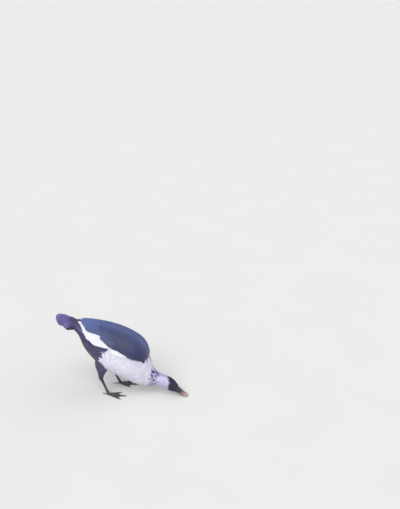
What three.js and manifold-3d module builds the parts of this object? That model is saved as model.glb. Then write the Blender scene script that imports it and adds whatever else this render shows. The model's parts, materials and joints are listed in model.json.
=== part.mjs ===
// A grazing muscovy duck, life size, in millimetres.
// +X points to the bill, +Y to the duck's left, +Z up. The floor is z = 0, and the origin is
// the middle of the duck's footprint box on the floor.
import * as THREE from "three";
import Module from "manifold-3d";

const wasm = await Module();
wasm.setup();

// Driving dimensions.
const joinGap = 0.3; // between two pieces that meet
const torsoSides = 24;
const neckSides = 20;
const headSides = 22;
const vaneThickness = 0.6;
const vaneCrown = 0.3; // how far a feather's middle stands above its edges
const lapRise = 1; // how far each feather lies above the next one in its tier
const mostTilt = 1.7; // how far a feather's edge may rise or fall for that
const sides = { left: 1, right: -1 };

// The trunk, neck and head are one run of cross sections, from the rump to the root of the bill.
// Each section is an oval that stands on the line from its belly point to its back point, both
// given as [x, z], with its half width, and how high up that line it is widest.
const sections = {
  rump: { back: [-188, 291], belly: [-180, 260], halfWidth: 28, widest: 0.5 },
  vent: { back: [-164, 292], belly: [-146, 227], halfWidth: 43, widest: 0.52 },
  hips: { back: [-133, 289], belly: [-125, 177], halfWidth: 63, widest: 0.54 },
  thighs: { back: [-90, 285], belly: [-94, 141], halfWidth: 80, widest: 0.52 },
  belly: { back: [-45, 277], belly: [-62, 113], halfWidth: 89, widest: 0.5 },
  waist: { back: [0, 266], belly: [-29, 93], halfWidth: 92, widest: 0.48 },
  keel: { back: [43, 249], belly: [4, 76], halfWidth: 89, widest: 0.47 },
  breast: { back: [80, 227], belly: [36, 60], halfWidth: 81, widest: 0.48 },
  crop: { back: [105, 194], belly: [62, 46], halfWidth: 66, widest: 0.5 },
  neckBase: { back: [118, 159], belly: [85, 36], halfWidth: 51, widest: 0.5 },
  lowNeck: { back: [127, 128], belly: [106, 32], halfWidth: 38, widest: 0.5 },
  midNeck: { back: [139, 103], belly: [127, 33], halfWidth: 29, widest: 0.5 },
  nape: { back: [158, 88], belly: [146, 36], halfWidth: 23.5, widest: 0.5 },
  cheek: { back: [188, 80], belly: [167, 35], halfWidth: 22, widest: 0.5 },
  eyes: { back: [214, 65], belly: [191, 24], halfWidth: 20.5, widest: 0.52 },
  face: { back: [235, 44], belly: [216, 13], halfWidth: 15.5, widest: 0.5 },
};
const sectionNames = Object.keys(sections);
const sectionTable = Object.values(sections);
const lastSection = sectionTable.length - 1;
const neckStart = sectionNames.indexOf("neckBase") - 0.1;
const headStart = sectionNames.indexOf("nape") + 0.35;

// A small seeded random number, so that every build is the same.
function seededRandom(seed) {
  let state = seed;
  return () => {
    state = (state * 1664525 + 1013904223) % 4294967296;
    return state / 4294967296;
  };
}

const lerp = (a, b, t) => a + (b - a) * t;
const radians = (turn) => (turn * Math.PI) / 180;
const degrees = (turn) => (turn * 180) / Math.PI;

// Even steps from 0 to 1.
const shares = (steps) => Array.from({ length: steps + 1 }, (_, k) => k / steps);

// A smooth value through a list of numbers, at a place that may lie between two of them.
function smoothThrough(values, place) {
  const last = values.length - 1;
  const at = Math.min(Math.max(place, 0), last);
  const low = Math.min(Math.floor(at), last - 1);
  const t = at - low;
  const before = values[Math.max(low - 1, 0)];
  const start = values[low];
  const end = values[low + 1];
  const after = values[Math.min(low + 2, last)];
  const slopeIn = (end - before) / 2;
  const slopeOut = (after - start) / 2;
  const t2 = t * t;
  const t3 = t2 * t;
  return (
    start * (2 * t3 - 3 * t2 + 1) +
    slopeIn * (t3 - 2 * t2 + t) +
    end * (3 * t2 - 2 * t3) +
    slopeOut * (t3 - t2)
  );
}

function sectionAt(place) {
  const through = (pick) => smoothThrough(sectionTable.map(pick), place);
  const back = new THREE.Vector3(through((s) => s.back[0]), 0, through((s) => s.back[1]));
  const belly = new THREE.Vector3(through((s) => s.belly[0]), 0, through((s) => s.belly[1]));
  const centre = belly.clone().lerp(back, through((s) => s.widest));
  return { back, belly, centre, halfWidth: through((s) => s.halfWidth) };
}

// A point on the skin. The angle is 0 on the back, 90 on the left side and 180 under the belly.
function skinPoint(place, angle) {
  const { back, belly, centre, halfWidth } = sectionAt(place);
  const up = Math.cos(radians(angle));
  const towards = up > 0 ? back : belly;
  const point = centre.clone().lerp(towards, Math.abs(up));
  point.y = halfWidth * Math.sin(radians(angle));
  return point;
}

function skinNormal(place, angle) {
  const step = 0.02;
  const along = skinPoint(place + step, angle).sub(skinPoint(place - step, angle));
  const around = skinPoint(place, angle + 1).sub(skinPoint(place, angle - 1));
  return along.cross(around).normalize();
}

// A point off the skin, lifted from it along its normal. Past either end the normal is the one
// just inside that end.
function bodyPoint(place, angle, lift = 0) {
  const margin = 0.03;
  const inside = Math.min(Math.max(place, margin), lastSection - margin);
  const normal = skinNormal(inside, angle);
  return skinPoint(place, angle).addScaledVector(normal, lift);
}

// Closed solids from points and triangles, with their faces turned outwards.
function solidFrom(points, triangles) {
  const build = (list) =>
    new wasm.Manifold(
      new wasm.Mesh({
        numProp: 3,
        vertProperties: Float32Array.from(points.flatMap((p) => [p.x, p.y, p.z])),
        triVerts: Uint32Array.from(list.flat()),
      }),
    );
  const made = build(triangles);
  return made.volume() < 0 ? build(triangles.map(([a, b, c]) => [a, c, b])) : made;
}

// A solid through a run of rings, each a list of points, closed by a fan at both ends.
function loft(rings) {
  const count = rings[0].length;
  const points = rings.flat();
  const triangles = [];
  for (let r = 0; r + 1 < rings.length; r++)
    for (let k = 0; k < count; k++) {
      const a = r * count + k;
      const b = r * count + ((k + 1) % count);
      triangles.push([a, b, b + count], [a, b + count, a + count]);
    }
  const middleOf = (ring) =>
    ring.reduce((sum, p) => sum.add(p), new THREE.Vector3()).divideScalar(count);
  const first = points.push(middleOf(rings[0])) - 1;
  const last = points.push(middleOf(rings.at(-1))) - 1;
  const lastRing = (rings.length - 1) * count;
  for (let k = 0; k < count; k++) {
    const next = (k + 1) % count;
    triangles.push([first, next, k], [last, lastRing + k, lastRing + next]);
  }
  return solidFrom(points, triangles);
}

// A thin plate of rows and columns. at(s, t, face) gives its points, with s from root to tip,
// t across and face 1 above and -1 below. Both faces are split into triangles alike.
function plate(rows, columns, at) {
  const points = [];
  const triangles = [];
  for (const face of [1, -1])
    for (const s of rows) for (const t of columns) points.push(at(s, t, face));
  const wide = columns.length;
  const under = rows.length * wide;
  for (let r = 0; r + 1 < rows.length; r++)
    for (let c = 0; c + 1 < wide; c++) {
      const a = r * wide + c;
      triangles.push([a, a + 1, a + wide + 1], [a, a + wide + 1, a + wide]);
      const b = a + under;
      triangles.push([b, b + wide + 1, b + 1], [b, b + wide, b + wide + 1]);
    }
  const rim = [];
  for (let c = 0; c < wide; c++) rim.push(c);
  for (let r = 1; r < rows.length; r++) rim.push(r * wide + wide - 1);
  for (let c = wide - 2; c >= 0; c--) rim.push((rows.length - 1) * wide + c);
  for (let r = rows.length - 2; r > 0; r--) rim.push(r * wide);
  rim.forEach((a, k) => {
    const b = rim[(k + 1) % rim.length];
    triangles.push([a, a + under, b + under], [a, b + under, b]);
  });
  return solidFrom(points, triangles);
}

// The largest closed surface of a solid.
function largest(solid) {
  return solid.decompose().reduce((a, b) => (b.volume() > a.volume() ? b : a));
}

function fuse(solids) {
  return largest(solids.reduce((all, next) => all.add(next)));
}

// A solid from a geometry whose corners may be stored more than once.
function fromGeometry(geometry) {
  const mergeSteps = 1e4; // corners closer than a step of 1 / 10000 mm are one
  const position = geometry.getAttribute("position");
  const index = geometry.getIndex();
  const points = [];
  const seen = new Map();
  const mapped = [];
  for (let k = 0; k < position.count; k++) {
    const p = new THREE.Vector3().fromBufferAttribute(position, k);
    const key = p.toArray().map((v) => Math.round(v * mergeSteps)).join();
    if (!seen.has(key)) seen.set(key, points.push(p) - 1);
    mapped.push(seen.get(key));
  }
  const corner = (k) => mapped[index ? index.getX(k) : k];
  const triangles = [];
  for (let k = 0; k < (index ? index.count : position.count); k += 3) {
    const triangle = [corner(k), corner(k + 1), corner(k + 2)];
    if (new Set(triangle).size === 3) triangles.push(triangle);
  }
  return solidFrom(points, triangles);
}

const underFloor = fromGeometry(new THREE.BoxGeometry(900, 600, 60).translate(0, 0, -30));

function ball(centre, radius, detail = 1) {
  const geometry = new THREE.IcosahedronGeometry(radius, detail);
  return fromGeometry(geometry.translate(centre.x, centre.y, centre.z));
}

// Rings of the body between two places, with a lift off the skin.
function bodyRings(from, to, steps, count, lift = 0) {
  const ringAt = (place) =>
    Array.from({ length: count }, (_, n) => bodyPoint(place, (360 * n) / count, lift));
  return shares(steps).map((share) => ringAt(lerp(from, to, share)));
}

// How far the place moves on each side of a cut, for the gap between the two pieces. It is a
// little over half the gap, because the sections lie closer together on the belly.
function placeStep(place) {
  const reach = 0.05;
  const before = sectionAt(place - reach).centre;
  const after = sectionAt(place + reach).centre;
  return (2 * reach * 0.6 * joinGap) / before.distanceTo(after);
}

const materials = {
  darkPlumage: { color: 0x34324a, roughness: 0.5, metalness: 0 },
  whitePlumage: { color: 0xe9e6f2, roughness: 0.75, metalness: 0 },
  mottledPlumage: { color: 0x8f8ba0, roughness: 0.75, metalness: 0 },
  bill: { color: 0xb39a94, roughness: 0.4, metalness: 0 },
  legSkin: { color: 0x4a4440, roughness: 0.5, metalness: 0 },
  claw: { color: 0x2a2526, roughness: 0.35, metalness: 0 },
  eye: { color: 0x2b1a10, roughness: 0.08, metalness: 0 },
};

const duck = new THREE.Group();

function addPiece(name, solid, material) {
  const { vertProperties, triVerts } = solid.getMesh();
  const geometry = new THREE.BufferGeometry();
  geometry.setAttribute("position", new THREE.BufferAttribute(vertProperties, 3));
  geometry.setIndex(new THREE.BufferAttribute(triVerts, 1));
  geometry.computeVertexNormals();
  const mesh = new THREE.Mesh(geometry, new THREE.MeshStandardMaterial(materials[material]));
  mesh.name = name;
  duck.add(mesh);
}

// Torso and neck.
const neckGap = placeStep(neckStart);
const headGap = placeStep(headStart);
const torsoSteps = 24;
const neckSteps = 12;
const headSteps = 12;
const trunk = (lift) => loft(bodyRings(0, neckStart - neckGap, torsoSteps, torsoSides, lift));
const trunkCutter = trunk(joinGap);
addPiece("torso", trunk(0), "whitePlumage");
const neck = bodyRings(neckStart + neckGap, headStart - headGap, neckSteps, neckSides);
addPiece("neck", loft(neck), "whitePlumage");

// Eyes, lids and the bare warty skin of the face.
const eyePlace = sectionNames.indexOf("eyes") + 0.1;
const eyeAngle = 66;
const eyeRadius = 5;
const eyeSink = 2.6; // how far the eye's middle lies inside the skin
const lidRadius = 5.4;
const lidTube = 1.1;

function eyeCentre(side) {
  return bodyPoint(eyePlace, side * eyeAngle, -eyeSink);
}

function lidRing(side) {
  const normal = skinNormal(eyePlace, side * eyeAngle);
  const turn = new THREE.Quaternion().setFromUnitVectors(new THREE.Vector3(0, 0, 1), normal);
  const centre = bodyPoint(eyePlace, side * eyeAngle, 0.1);
  const ring = new THREE.TorusGeometry(lidRadius, lidTube, 5, 12).applyQuaternion(turn);
  return fromGeometry(ring.translate(centre.x, centre.y, centre.z));
}

// Small warts lie in a band from behind the eye to the bill's root, larger next to the bill.
function facialWarts(side, random) {
  const byEye = { place: eyePlace - 0.3, radius: 1.9, rowTurn: 24 };
  const byBill = { place: lastSection - 0.1, radius: 3, rowTurn: 30 };
  const lidRoom = 1.2; // between the eyeball and the nearest wart
  const sunk = 0.45; // share of its radius that a wart lies below the skin
  const warts = [];
  for (const row of [-1, 0, 1])
    for (const along of shares(2)) {
      const place = lerp(byEye.place, byBill.place, along) + (random() - 0.5) * 0.06;
      const rowTurn = lerp(byEye.rowTurn, byBill.rowTurn, along);
      const angle = eyeAngle + 4 + row * rowTurn + (random() - 0.5) * 6;
      const radius = lerp(byEye.radius, byBill.radius, along) * lerp(0.85, 1.15, random());
      const nearEye = bodyPoint(place, side * angle).distanceTo(eyeCentre(side));
      if (nearEye < eyeRadius + radius + lidRoom) continue;
      const centre = bodyPoint(place, side * angle, -radius * sunk);
      const wart = new THREE.OctahedronGeometry(radius, 1);
      warts.push(fromGeometry(wart.translate(centre.x, centre.y, centre.z)));
    }
  return warts;
}

// Crest: flat locks on the crown and nape that lie back over the neck.
function crestLocks(random) {
  const halfWidth = 4.2;
  const widths = [0.8, 0.9, 0.2]; // shares of the half width at root, middle and tip
  const girth = 22; // radius of the head below the crest
  const sunk = 1.6;
  const tipLift = 2.4;
  const thickness = { root: 1.4, tip: 0.5 };
  const locks = [];
  for (const row of [0, 1])
    for (const column of [-1, 0, 1]) {
      const root = lastSection - 1.45 - row * 0.6;
      const tip = Math.max(root - 1.1 - 0.1 * random(), headStart + 0.1);
      const angle = column * lerp(17, 22, random());
      locks.push(
        plate(shares(2), [-1, 0, 1], (s, t, face) => {
          const swing = degrees((t * halfWidth * widths[Math.round(s * 2)]) / girth);
          const half = (face * lerp(thickness.root, thickness.tip, s)) / 2;
          const lift = lerp(-sunk, tipLift, s) - 0.5 * t * t + half;
          return bodyPoint(lerp(root, tip, s), angle * (1 + 0.2 * s) + swing, lift);
        }),
      );
    }
  return locks;
}

// The flat front of the face, where the bill is rooted.
const faceEnd = sectionAt(lastSection);
const faceAxis = new THREE.Vector3().subVectors(faceEnd.back, faceEnd.belly).normalize();
const faceForward = new THREE.Vector3(faceAxis.z, 0, -faceAxis.x);

// A block that starts just ahead of the face, and cuts off what would reach into the bill.
function faceCutter() {
  const size = 60;
  const clearance = 0.03;
  const block = new THREE.BoxGeometry(size, size, size);
  const turn = Math.atan2(faceForward.z, faceForward.x);
  const middle = faceEnd.centre.clone().addScaledVector(faceForward, size / 2 + clearance);
  return fromGeometry(block.rotateY(-turn).translate(middle.x, middle.y, middle.z));
}

const headSkin = loft(bodyRings(headStart + headGap, lastSection, headSteps, headSides));
const headRandom = seededRandom(11);
const headParts = [
  headSkin,
  ...Object.values(sides).flatMap((side) => [lidRing(side), ...facialWarts(side, headRandom)]),
  ...crestLocks(headRandom),
];
let head = fuse(headParts).subtract(faceCutter());
for (const [name, side] of Object.entries(sides)) {
  head = head.subtract(ball(eyeCentre(side), eyeRadius + joinGap, 2));
  addPiece(`eye_${name}`, ball(eyeCentre(side), eyeRadius, 2), "eye");
}
addPiece("head", largest(head), "mottledPlumage");

// The bill, in its own frame: x runs from its root to its tip, z up, and y = 0 is its middle.
const billPitch = 27; // degrees that it points down
const billRoot = 9; // length over which it turns from the face to its own pitch
const upperBill = [
  { x: 0, top: 13.5, halfWidth: 13, edge: -3 },
  { x: 9, top: 11.5, halfWidth: 12.6, edge: -3.4 },
  { x: 20, top: 8.2, halfWidth: 11.6, edge: -4 },
  { x: 32, top: 5.6, halfWidth: 11.4, edge: -4.2 },
  { x: 41, top: 4.2, halfWidth: 12.2, edge: -4 },
  { x: 48, top: 2.8, halfWidth: 10.8, edge: -4.2 },
  { x: 53, top: 0.8, halfWidth: 7, edge: -5 },
  { x: 55.5, top: -2, halfWidth: 3.2, edge: -6 },
];
const lowerBill = [
  { x: 0, edge: -3.6, halfWidth: 11.6, bottom: -12.5 },
  { x: 12, edge: -4.2, halfWidth: 11, bottom: -10.6 },
  { x: 28, edge: -4.8, halfWidth: 10, bottom: -9 },
  { x: 40, edge: -4.8, halfWidth: 10.6, bottom: -7.6 },
  { x: 47, edge: -5, halfWidth: 9, bottom: -7.2 },
  { x: 52, edge: -5.6, halfWidth: 5, bottom: -7 },
];
// The bill's root lies flat on the face, and the rest of it turns to its own pitch.
function billPoint(x, y, z) {
  const pitch = radians(billPitch);
  const turned = new THREE.Vector3(
    x * Math.cos(pitch) + z * Math.sin(pitch),
    y,
    -x * Math.sin(pitch) + z * Math.cos(pitch),
  );
  const flat = new THREE.Vector3(0, y, 0)
    .addScaledVector(faceAxis, z)
    .addScaledVector(faceForward, joinGap);
  const onFace = Math.max(0, 1 - x / billRoot);
  return turned.lerp(flat, onFace).add(faceEnd.centre);
}

const domeSteps = 8;
const palateSteps = 4;

function upperBillRing({ x, top, halfWidth, edge }) {
  const ring = [];
  for (let k = 0; k <= domeSteps; k++) {
    const turn = Math.PI * (k / domeSteps);
    const rise = Math.pow(Math.sin(turn), 0.75) * (top - edge);
    ring.push(billPoint(x, -halfWidth * Math.cos(turn), edge + rise));
  }
  for (let k = 1; k < palateSteps; k++)
    ring.push(billPoint(x, halfWidth * (1 - (2 * k) / palateSteps), edge));
  return ring;
}

function lowerBillRing({ x, edge, halfWidth, bottom }) {
  const ring = [];
  for (let k = 0; k <= domeSteps; k++) {
    const turn = Math.PI * (k / domeSteps);
    const drop = Math.pow(Math.sin(turn), 0.6) * (edge - bottom);
    ring.push(billPoint(x, -halfWidth * Math.cos(turn), edge - drop));
  }
  for (let k = 1; k < palateSteps; k++)
    ring.push(billPoint(x, halfWidth * (1 - (2 * k) / palateSteps), edge));
  return ring;
}

const nostrilPlace = { x: 17, y: 6.4, z: 7.2 };
const nostrilSize = { long: 3.4, wide: 2.6, deep: 1.5, lean: 35, slope: 12 };

function nostril(side) {
  const { x, y, z } = nostrilPlace;
  const { long, wide, deep, lean, slope } = nostrilSize;
  const hole = new THREE.SphereGeometry(1, 8, 6).scale(long, wide, deep);
  hole.rotateX(radians(-side * lean)).rotateY(radians(billPitch + slope));
  const centre = billPoint(x, side * y, z);
  return fromGeometry(hole.translate(centre.x, centre.y, centre.z));
}

let upper = loft(upperBill.map(upperBillRing));
for (const side of Object.values(sides)) upper = upper.subtract(nostril(side));
const lower = loft(lowerBill.map(lowerBillRing));
addPiece("bill_upper", largest(upper.subtract(underFloor)), "bill");
addPiece("bill_lower", largest(lower.subtract(underFloor)), "bill");

// Folded wings. A wing lies over the trunk as a wedge, thick at the shoulder and thin at the
// back, and its feathers grow from it in tiers, each tier over the next one behind it.
const wingFront = 8.6;
const wingBack = 2.3;
const wingTop = [30, 18, 12, 9, 8, 9]; // angle of the upper edge, from shoulder to back
const wingLow = [50, 57, 64, 60, 72, 72]; // angle of the lower edge
const wedgeLift = [6, 9, 7.4, 5.4, 3.4, 1.3]; // height of the wedge's outer face
const wingRoot = -1.2; // height of its inner face, before the trunk is cut from it
const wedgeRim = 0.9; // height of its outer face at the upper and lower edges

function wingPlace(share) {
  return lerp(wingFront, wingBack, share);
}

function wingAngle(share, across) {
  const top = smoothThrough(wingTop, share * (wingTop.length - 1));
  const low = smoothThrough(wingLow, share * (wingLow.length - 1));
  return lerp(top, low, across);
}

function wingWedge(side) {
  return plate(shares(10), shares(6), (s, t, face) => {
    const rim = Math.min(1, Math.min(t, 1 - t) * 7, s * 6 + 0.25);
    const height = smoothThrough(wedgeLift, s * (wedgeLift.length - 1));
    const lift = face < 0 ? wingRoot : wedgeRim + (height - wedgeRim) * Math.sqrt(rim);
    return bodyPoint(wingPlace(s), side * wingAngle(s, t), lift);
  });
}

const longVane = { rows: [0, 0.5, 0.86, 1], columns: [-1, 0, 1] };
const shortVane = { rows: [0, 0.75, 1], columns: [-1, 0, 1] };

function vaneWidth(s, pointed) {
  const tip = Math.sqrt(Math.max(0, 1 - Math.pow(s, pointed)));
  return Math.max(0.22, Math.min(1, 0.62 + s * 1.2) * tip);
}

// The distance across from one feather's midline to the next one's, at a share of its length.
function laneWidth(root, tip, next, s) {
  const middle = (r, t, share) => bodyPoint(lerp(r[0], t[0], share), lerp(r[1], t[1], share));
  const here = middle(root, tip, s);
  const ahead = middle(root, tip, s + 0.02).sub(here).normalize();
  const beside = middle(next.root, next.tip, s).sub(here);
  return beside.addScaledVector(ahead, -beside.dot(ahead)).length();
}

// One flight feather or covert over the trunk, tilted so that its lower edge lies over the
// feather below it.
function wingVane(side, tier, { root, tip, next }) {
  const { cut, halfWidth, lift, tipLift = lift, pointed } = tier;
  return plate(cut.rows, cut.columns, (s, t, face) => {
    const place = lerp(root[0], tip[0], s);
    const girth = Math.max(30, sectionAt(place).halfWidth);
    const width = halfWidth * vaneWidth(s, pointed);
    const swing = degrees((t * width) / girth);
    const tilt = Math.min(mostTilt, (lapRise * width) / laneWidth(root, tip, next, s));
    const crown = vaneCrown * (1 - t * t);
    const height = lerp(lift, tipLift, s) + crown + tilt * t + (face * vaneThickness) / 2;
    return bodyPoint(place, side * (lerp(root[1], tip[1], s) + swing), height);
  });
}

// The tiers: how many feathers, where the first and last have their roots and tips as
// [place along the body, angle round it], their half width and their height off the skin.
const wingTiers = {
  primaries: {
    count: 6, cut: longVane, halfWidth: 7, lift: 1.6, tipLift: 2.6, pointed: 4,
    roots: [[3.6, 45], [4.6, 70]], tips: [[1.0, 17], [2.35, 66]],
  },
  secondaries: {
    count: 6, cut: longVane, halfWidth: 9, lift: 2.4, tipLift: 4.8, pointed: 8,
    roots: [[4.6, 40], [5.9, 61]], tips: [[1.95, 34], [3.5, 75]],
  },
  greaterCoverts: {
    count: 6, cut: shortVane, halfWidth: 8, lift: 4.4, tipLift: 6.8, pointed: 6,
    roots: [[5.8, 36], [7.0, 58]], tips: [[3.6, 42], [5.05, 62]],
  },
  medianCoverts: {
    count: 5, cut: shortVane, halfWidth: 8, lift: 5.5, tipLift: 8.8, pointed: 5,
    roots: [[7.2, 33], [8.0, 50]], tips: [[5.3, 38], [6.5, 64]],
  },
  tertials: {
    count: 3, cut: longVane, halfWidth: 11, lift: 4.6, tipLift: 7, pointed: 5,
    roots: [[5.2, 16], [5.2, 38]], tips: [[1.3, 13], [2.5, 41]],
  },
  scapulars: {
    count: 3, cut: shortVane, halfWidth: 12, lift: 6.4, tipLift: 9.8, pointed: 4,
    roots: [[7.2, 23], [6.7, 41]], tips: [[3.5, 14], [4.6, 37]],
  },
};

function wing(side) {
  const pieces = [wingWedge(side)];
  for (const tier of Object.values(wingTiers))
    for (let k = 0; k < tier.count; k++) {
      const pick = ([first, last], n) => first.map((v, c) => lerp(v, last[c], n / (tier.count - 1)));
      const lane = (n) => ({ root: pick(tier.roots, n), tip: pick(tier.tips, n) });
      pieces.push(wingVane(side, tier, { ...lane(k), next: lane(k + 1) }));
    }
  return largest(fuse(pieces).subtract(trunkCutter));
}

for (const [name, side] of Object.entries(sides)) addPiece(`wing_${name}`, wing(side), "darkPlumage");

// The tail fan spreads from a point inside the rump and rises backwards.
const tailPitch = 23;
const tailPivot = new THREE.Vector3(-120, 0, 250);
const tailPairs = 6;
const tailSpread = 21; // degrees from the middle to the outer feather
const tailReach = 150; // pivot to the tip of the middle feathers
const tailArch = 10; // how far the outer feathers droop
const tailStart = 70; // pivot to the roots of the feathers
const tailRounding = 22; // how much shorter the outer feathers are
const covertReach = 116; // pivot to the tips of the coverts

function tailPoint(distance, angle, lift) {
  const turn = radians(angle);
  const pitch = radians(tailPitch);
  const back = distance * Math.cos(turn);
  const droop = tailArch * Math.pow(angle / tailSpread, 2) * (distance / tailReach);
  return new THREE.Vector3(
    tailPivot.x - back * Math.cos(pitch) + lift * Math.sin(pitch),
    distance * Math.sin(turn),
    tailPivot.z + back * Math.sin(pitch) + lift * Math.cos(pitch) - droop,
  );
}

// One tail feather. Its lane is the angle to the next one, and the middle of the fan lies on top.
function tailVane({ cut, angle, from, to, halfWidth, lift, tipLift = lift, lane, pointed }) {
  return plate(cut.rows, cut.columns, (s, t, face) => {
    const distance = lerp(from, to, s);
    const width = halfWidth * lerp(0.7, 1, s) * vaneWidth(s, pointed);
    const swing = degrees((t * width) / distance);
    const tilt = Math.min(mostTilt, (lapRise * width) / (distance * radians(lane)));
    const crown = vaneCrown * (1 - t * t);
    const height = lerp(lift, tipLift, s) + crown + Math.sign(angle) * tilt * t;
    return tailPoint(distance, angle + swing, height + (face * vaneThickness) / 2);
  });
}

// The fleshy root of the tail: it starts inside the rump and thins out between the quills.
const tailRootRings = [
  { distance: 80, halfWidth: 28, thickness: 9.5 },
  { distance: 94, halfWidth: 29, thickness: 5 },
  { distance: 106, halfWidth: 29, thickness: 1.6 },
];

function tailRoot() {
  const ringAt = (place, lift) => bodyRings(place, place, 1, torsoSides, lift)[0];
  const inside = ringAt(0.15, -2.5);
  const start = ringAt(0, 0);
  const thin = ({ distance, halfWidth, thickness }) =>
    start.map((_, k) => {
      const turn = (2 * Math.PI * k) / torsoSides;
      const angle = degrees((halfWidth * Math.sin(turn)) / distance);
      return tailPoint(distance, angle, thickness * Math.cos(turn));
    });
  return loft([inside, start, ...tailRootRings.map(thin)]);
}

function tail() {
  const pieces = [tailRoot()];
  const lane = tailSpread / tailPairs;
  const quill = { cut: longVane, from: tailStart, halfWidth: 8.6, pointed: 8, lane };
  pieces.push(tailVane({ ...quill, angle: 0, to: tailReach, lift: 1.3 }));
  for (let pair = 1; pair <= tailPairs; pair++)
    for (const side of [1, -1]) {
      const to = tailReach - tailRounding * Math.pow(pair / tailPairs, 2);
      pieces.push(tailVane({ ...quill, angle: side * lane * pair, to, lift: 0 }));
    }
  const covert = { cut: shortVane, from: tailStart + 4, halfWidth: 9, pointed: 4, lane: 8 };
  for (const column of [-1.5, -0.5, 0.5, 1.5]) {
    const reach = covertReach - 6 * Math.abs(column);
    const angle = column * covert.lane;
    pieces.push(tailVane({ ...covert, angle, to: reach, lift: 4, tipLift: 3.2 }));
    pieces.push(tailVane({ ...covert, angle, to: reach + 6, lift: -4, tipLift: -3 }));
  }
  const rumpCutter = trunkCutter.translate([-joinGap, 0, 0]);
  return largest(fuse(pieces).subtract(rumpCutter));
}

addPiece("tail", tail(), "darkPlumage");

// Legs: a feathered thigh, a bare shank and a webbed foot.
const legStep = { left: 16, right: -6 }; // how far each foot stands ahead of the mean
const hipX = -56;
const legY = 47;
const ankle = { x: -62, z: 70 };
const sole = { x: -36, z: 13 };

// A run of flattened rings across a line of centres in the fore-and-aft plane of a leg.
function limb(rings, y, count) {
  return loft(
    rings.map(({ x, z, fore, wide, tilt }) =>
      Array.from({ length: count }, (_, k) => {
        const turn = (2 * Math.PI * k) / count;
        const forward = fore * Math.cos(turn);
        return new THREE.Vector3(
          x + forward * Math.cos(radians(tilt)),
          y + wide * Math.sin(turn),
          z + forward * Math.sin(radians(tilt)),
        );
      }),
    ),
  );
}

// A foot's toes, seen from above: direction in degrees from straight ahead, length and root
// radius. Toe 1 points back and is held just off the floor.
const toes = {
  1: { heading: 168, length: 15, radius: 2.6, start: -4, height: 5.4 },
  2: { heading: 24, length: 47, radius: 3.9, start: 2, height: 3.4 },
  3: { heading: -1, length: 66, radius: 4.3, start: 2, height: 3.7 },
  4: { heading: -25, length: 57, radius: 3.9, start: 2, height: 3.4 },
};
const clawLength = 12;
const toeSides = 8;
const toeSettle = 0.86; // height of a toe's middle over its radius, where it lies on the floor

// One ring of a toe or claw. Its sides are turned so that a flat one lies underneath.
function toeRing(at) {
  return Array.from({ length: toeSides }, (_, n) => at((2 * Math.PI * (n + 0.5)) / toeSides));
}

function toeFrame(toe, foot, side) {
  const turn = radians(toe.heading * -side);
  const ahead = new THREE.Vector3(Math.cos(turn), Math.sin(turn), 0);
  const across = new THREE.Vector3(-ahead.y, ahead.x, 0);
  const at = (distance, sideways, z) =>
    new THREE.Vector3(foot.x, foot.y, z)
      .addScaledVector(ahead, distance)
      .addScaledVector(across, sideways);
  return at;
}

// Toes swell at each joint and narrow towards the claw.
function toeRadius(toe, share) {
  return toe.radius * lerp(1, 0.62, share) * (1 + 0.1 * Math.cos(share * Math.PI * 6));
}

function toeSolid(toe, foot, side) {
  const at = toeFrame(toe, foot, side);
  const rings = shares(toe.length > 30 ? 5 : 2).map((share) => {
    const radius = toeRadius(toe, share);
    const height = lerp(toe.height, radius * toeSettle, share);
    const distance = lerp(toe.start, toe.length, share);
    return toeRing((turn) =>
      at(distance, radius * Math.cos(turn), height + radius * Math.sin(turn)),
    );
  });
  return loft(rings);
}

// A claw is a tapered hook that starts just past its toe and bends down to the floor.
function clawSolid(toe, foot, side) {
  const at = toeFrame(toe, foot, side);
  const radius = toeRadius(toe, 1) * toeSettle;
  const arch = 1.1; // how far the middle of the claw bows up
  const rings = [0, 0.35, 0.7, 1].map((share) => {
    const size = radius * Math.sqrt(1 - 0.93 * share);
    const distance = toe.length + joinGap + clawLength * share;
    const middle = lerp(radius, size * 0.9 + 0.15, share) + arch * Math.sin(Math.PI * share);
    return toeRing((turn) =>
      at(distance, size * 0.8 * Math.cos(turn), middle + size * Math.sin(turn)),
    );
  });
  return loft(rings);
}

// The web between two toes. Its front edge is hollow, and it rises to the toe on either side.
const web = { middle: 1.7, thickness: 1.5, rise: 1.1, hollow: 0.2 };

function webSolid(inner, outer, foot, side) {
  const innerAt = toeFrame(inner, foot, side);
  const outerAt = toeFrame(outer, foot, side);
  return plate([0.08, 0.35, 0.62, 0.88], shares(4), (s, t, face) => {
    const hollow = 1 - web.hollow * s * Math.sin(Math.PI * t);
    const z = web.middle + (face * web.thickness) / 2 + web.rise * Math.abs(2 * t - 1);
    const a = innerAt(inner.length * s * hollow, 0, z);
    const b = outerAt(outer.length * s * hollow, 0, z);
    return a.lerp(b, t);
  });
}

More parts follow.
